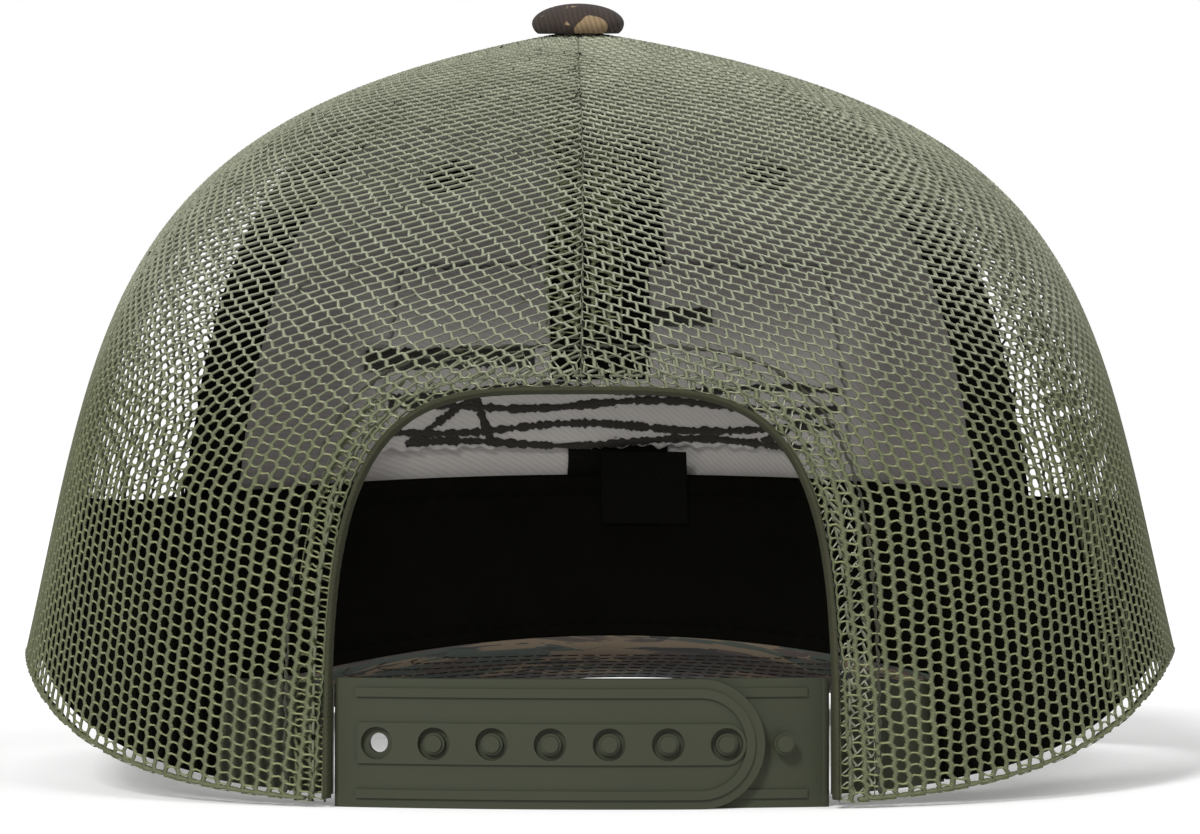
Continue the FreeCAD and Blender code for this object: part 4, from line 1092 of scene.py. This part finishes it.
def tape_over_backing():
    """The bound centre seam runs on over the motif's backing."""
    z, x = np.meshgrid(np.linspace(49.5, 80.0, 60), np.linspace(-12.5, 6.5, 13), indexing="ij")
    phi, v = on_wall(x, z, 1)
    swell = 0.12 * np.sqrt(np.clip(1 - ((x + 3.0) / 9.5) ** 2, 0, 1))
    inner, back = surface(phi, v, TAPE_OVER[1] + swell), surface(phi, v, TAPE_OVER[0])
    tube_object("front_tape_over_backing", np.concatenate([inner, back[:, ::-1]], 1), BLACK_TAPE,
                "black_tape")


EYELET_STITCHES = 32


def eyelets():
    """Buttonhole-stitched rings, from the section (radius, height) of one ring."""
    loop = np.array([(0.8, -0.2), (1.25, 0.38), (2.9, 0.58), (4.2, 0.40), (4.6, 0.10), (3.0, 0.06),
                     (3.0, -1.93), (4.6, -1.97), (4.2, -2.28), (2.9, -2.43), (1.25, -2.25), (0.8, -1.7)])
    puff = np.array([1, 1, 1, 1, 1, 0, 0, 1, 1, 1, 1, 1])
    for label, azimuth in EYELETS.items():
        centre, axis = crown_line(azimuth, v_at_height(azimuth, EYELET_HEIGHT))
        side = unit(np.cross(axis, [0.0, 0.0, 1.0]))
        up = np.cross(side, axis)
        turn = np.linspace(0, 2 * PI, 161)[:-1]
        wave = np.cos(turn * EYELET_STITCHES)[:, None]
        r = loop[:, 0] * (1 + 0.045 * wave * puff)
        z = loop[:, 1] + 0.06 * puff * np.sign(loop[:, 1] + 0.9) * wave
        spoke = np.cos(turn)[:, None, None] * side + np.sin(turn)[:, None, None] * up
        ring = centre + r[..., None] * spoke + z[..., None] * axis
        index = np.arange(160 * 12).reshape(160, 12)
        nxt = np.roll(index, -1, 0)
        faces = np.stack([index, np.roll(index, -1, 1), np.roll(nxt, -1, 1), nxt], -1).reshape(-1, 4)
        piece = mesh_object("eyelet_stitched_" + label, rest(ring.reshape(-1, 3)), faces.tolist(),
                            BLACK_TAPE, "dark_thread")
        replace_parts(piece, "eyelet_" + label)


def button():
    """Cloth-covered dome, gathered under its rim."""
    front = np.radians(np.linspace(89.8, -28.0, 20))
    back = np.radians(np.linspace(-22.0, 89.8, 12))
    r = np.concatenate([BUTTON_RADIUS * np.cos(front), [6.5, 6.25, 6.05],
                        (BUTTON_RADIUS - 0.5) * np.cos(back)])
    z = np.concatenate([BUTTON_RISE * np.sin(front), [-1.66, -1.6, -1.4],
                        (BUTTON_RISE - 0.5) * np.sin(back)])
    turn = np.linspace(0, 2 * PI, 121)[:-1]
    low = smooth(-0.2, -1.6, z)[:, None]
    fold = 1 + 0.018 * low * np.cos(turn * 17 + 0.6 * np.sin(turn * 3))
    radius = r[:, None] * fold
    ring = np.stack([radius * np.cos(turn) + TOP_SIDEWAYS, radius * np.sin(turn),
                     np.broadcast_to(z[:, None], radius.shape) + CROWN + BUTTON_CENTRE], -1)
    tube_object("button_cloth", ring[:, ::-1], BUTTON_CAMO, "camo_twill", "button_cover")


# ------------ sweatband
BAND_WIDTH, BAND_ROWS = 31.0, (2.6, 27.6)
BAND_CLEAR = 55.2    # half the band's gap at the closure


def sweatband():
    """Cover of the band, puffed between its stitch rows, with fine ribs, and its lining."""
    end = float(on_wall(BAND_CLEAR, 1.0, -1)[0])
    phi = np.linspace(end, PI - end, 420)
    share, away = visor_share(phi)
    low = edge_height(phi) - share * BAND_DROP + (1 - share) * BAND_RAISE
    high = BAND_TOP + BAND_FOLLOW * ear_rise(away)
    t = np.linspace(0, BAND_WIDTH, 63)
    puff = np.ones_like(t)
    for row in (0.0, *BAND_ROWS, BAND_WIDTH):
        puff *= 1 - gaussian(t - row, 0.9)
    grid_phi, grid_t = np.meshgrid(phi, t, indexing="ij")
    v = v_at_height(grid_phi, low[:, None] + grid_t / BAND_WIDTH * (high - low)[:, None])
    crease = 0.10 * np.sin(grid_phi * 60 + 2.0 * np.sin(grid_t * 0.35)) * np.sin(grid_phi * 17)
    rib = 0.045 * np.sin(grid_t * 2 * PI / 1.3)
    inner = surface(grid_phi, v, BAND[1] + puff * (0.33 + rib + 0.5 * crease))
    back = surface(grid_phi, v, BAND[0])
    band = tube_object("sweatband_padded_cover", np.concatenate([inner, back[:, ::-1]], 1), BLACK_BAND,
                       "sweatband_cloth", "sweatband_cover", "sweatband_foam")
    slack = 0.04 * np.sin(grid_phi * 45) * np.sin(grid_t * 0.5)
    crown_layer("sweatband_lining", grid_phi, v, BAND_LINING[0] + slack, BAND_LINING[1], BLACK_BAND,
                "sweatband_backing", "sweatband_cloth")
    thread = Builder()
    for row in BAND_ROWS:
        points, ups = crown_line(phi, v_at_height(phi, low + row / BAND_WIDTH * (high - low)), 4.05)
        stitches(thread, points, -ups, 2.6, 0.9, 0.17)
    thread.object("sweatband_stitching", BLACK_BAND, "dark_thread")


# ------------ carried-over CAD pieces
LOOKS = {
    "visor_board": BOARD, "button_shell": STEEL, "button_prong": STEEL, "hole_strap": PLASTIC,
    "peg_strap": PLASTIC, "hole_strap_tab": PLASTIC, "peg_strap_tab": PLASTIC,
}
EDGE_ROUNDING = 0.00016


def carried_over():
    """Materials of the CAD pieces that show as they are, and softer edges on the two straps."""
    for name, material in LOOKS.items():
        NODES[name].data.materials.clear()
        NODES[name].data.materials.append(material)
    for name in ("hole_strap", "peg_strap"):
        edge = NODES[name].modifiers.new("rounded_edge", "BEVEL")
        edge.width = EDGE_ROUNDING
        edge.segments = 2
        edge.limit_method = "ANGLE"
        edge.angle_limit = math.radians(40)


# ------------ camera, floor and light
LENS, DISTANCE, EYE_HEIGHT = 123.7, 0.690, 0.050
ROUND, PAN, TILT = (math.radians(a) for a in (2.0, 2.015, 0.70))
AMBIENT, FLOOR_GLOW = 0.55, 0.12


def link(name, data):
    thing = bpy.data.objects.new(name, data)
    bpy.context.scene.collection.objects.link(thing)
    return thing


def camera():
    """Behind the cap, a little to the right, just above the table."""
    data = bpy.data.cameras.new("camera")
    thing = link("camera", data)
    bpy.context.scene.camera = thing
    data.sensor_width = 36.0
    data.lens = LENS
    data.clip_start = 0.02
    data.clip_end = 50.0
    thing.location = (DISTANCE * math.sin(ROUND), SHIFT / 1000.0 - DISTANCE * math.cos(ROUND), EYE_HEIGHT)
    aim = Vector((-math.sin(PAN), math.cos(PAN), math.tan(TILT)))
    thing.rotation_mode = "QUATERNION"
    thing.rotation_quaternion = aim.to_track_quat("-Z", "Y")


def soft_sun(name, direction, strength, spread):
    """Even light from a direction, with soft shadows."""
    data = bpy.data.lights.new(name, "SUN")
    data.energy = strength
    data.angle = math.radians(spread)
    lamp = link(name, data)
    lamp.rotation_mode = "QUATERNION"
    lamp.rotation_quaternion = Vector(direction).to_track_quat("Z", "Y")


def studio():
    """White floor under an even white sky, a sun from behind the camera and a weaker one beside it."""
    bpy.context.scene.view_settings.view_transform = "Standard"
    mesh = bpy.data.meshes.new("floor")
    mesh.from_pydata([(-6, -6, 0), (6, -6, 0), (6, 6, 0), (-6, 6, 0)], [], [(0, 1, 2, 3)])
    floor = link("floor", mesh)
    shade = Shader("floor")
    mesh.materials.append(shade.done((0.92, 0.92, 0.92), 0.9, 0.0, 0.0))
    shade.put(shade.bsdf.inputs["Emission Color"], WHITE)
    shade.put(shade.bsdf.inputs["Emission Strength"], FLOOR_GLOW)
    world = bpy.data.worlds.new("studio")
    bpy.context.scene.world = world
    world.use_nodes = True
    tree = world.node_tree
    seen = tree.nodes.new("ShaderNodeLightPath")
    strength = tree.nodes.new("ShaderNodeMapRange")
    strength.inputs["To Min"].default_value = AMBIENT
    tree.links.new(seen.outputs["Is Camera Ray"], strength.inputs["Value"])
    tree.nodes["Background"].inputs[0].default_value = (1.0, 1.0, 1.0, 1.0)
    tree.links.new(strength.outputs[0], tree.nodes["Background"].inputs[1])
    soft_sun("key", (-0.40, -1.0, 0.72), 2.45, 14.0)
    soft_sun("fill", (0.9, -0.7, 0.8), 0.7, 40.0)


carried_over()
nets()
rolled_edges()
binding()
mesh_stitching()
front_layers()
seam_tapes()
front_stitching()
visor_covers()
visor_stitching()
motif()
motif_reverse()
woven_label()
motif_backing()
tape_over_backing()
eyelets()
button()
sweatband()
camera()
studio()
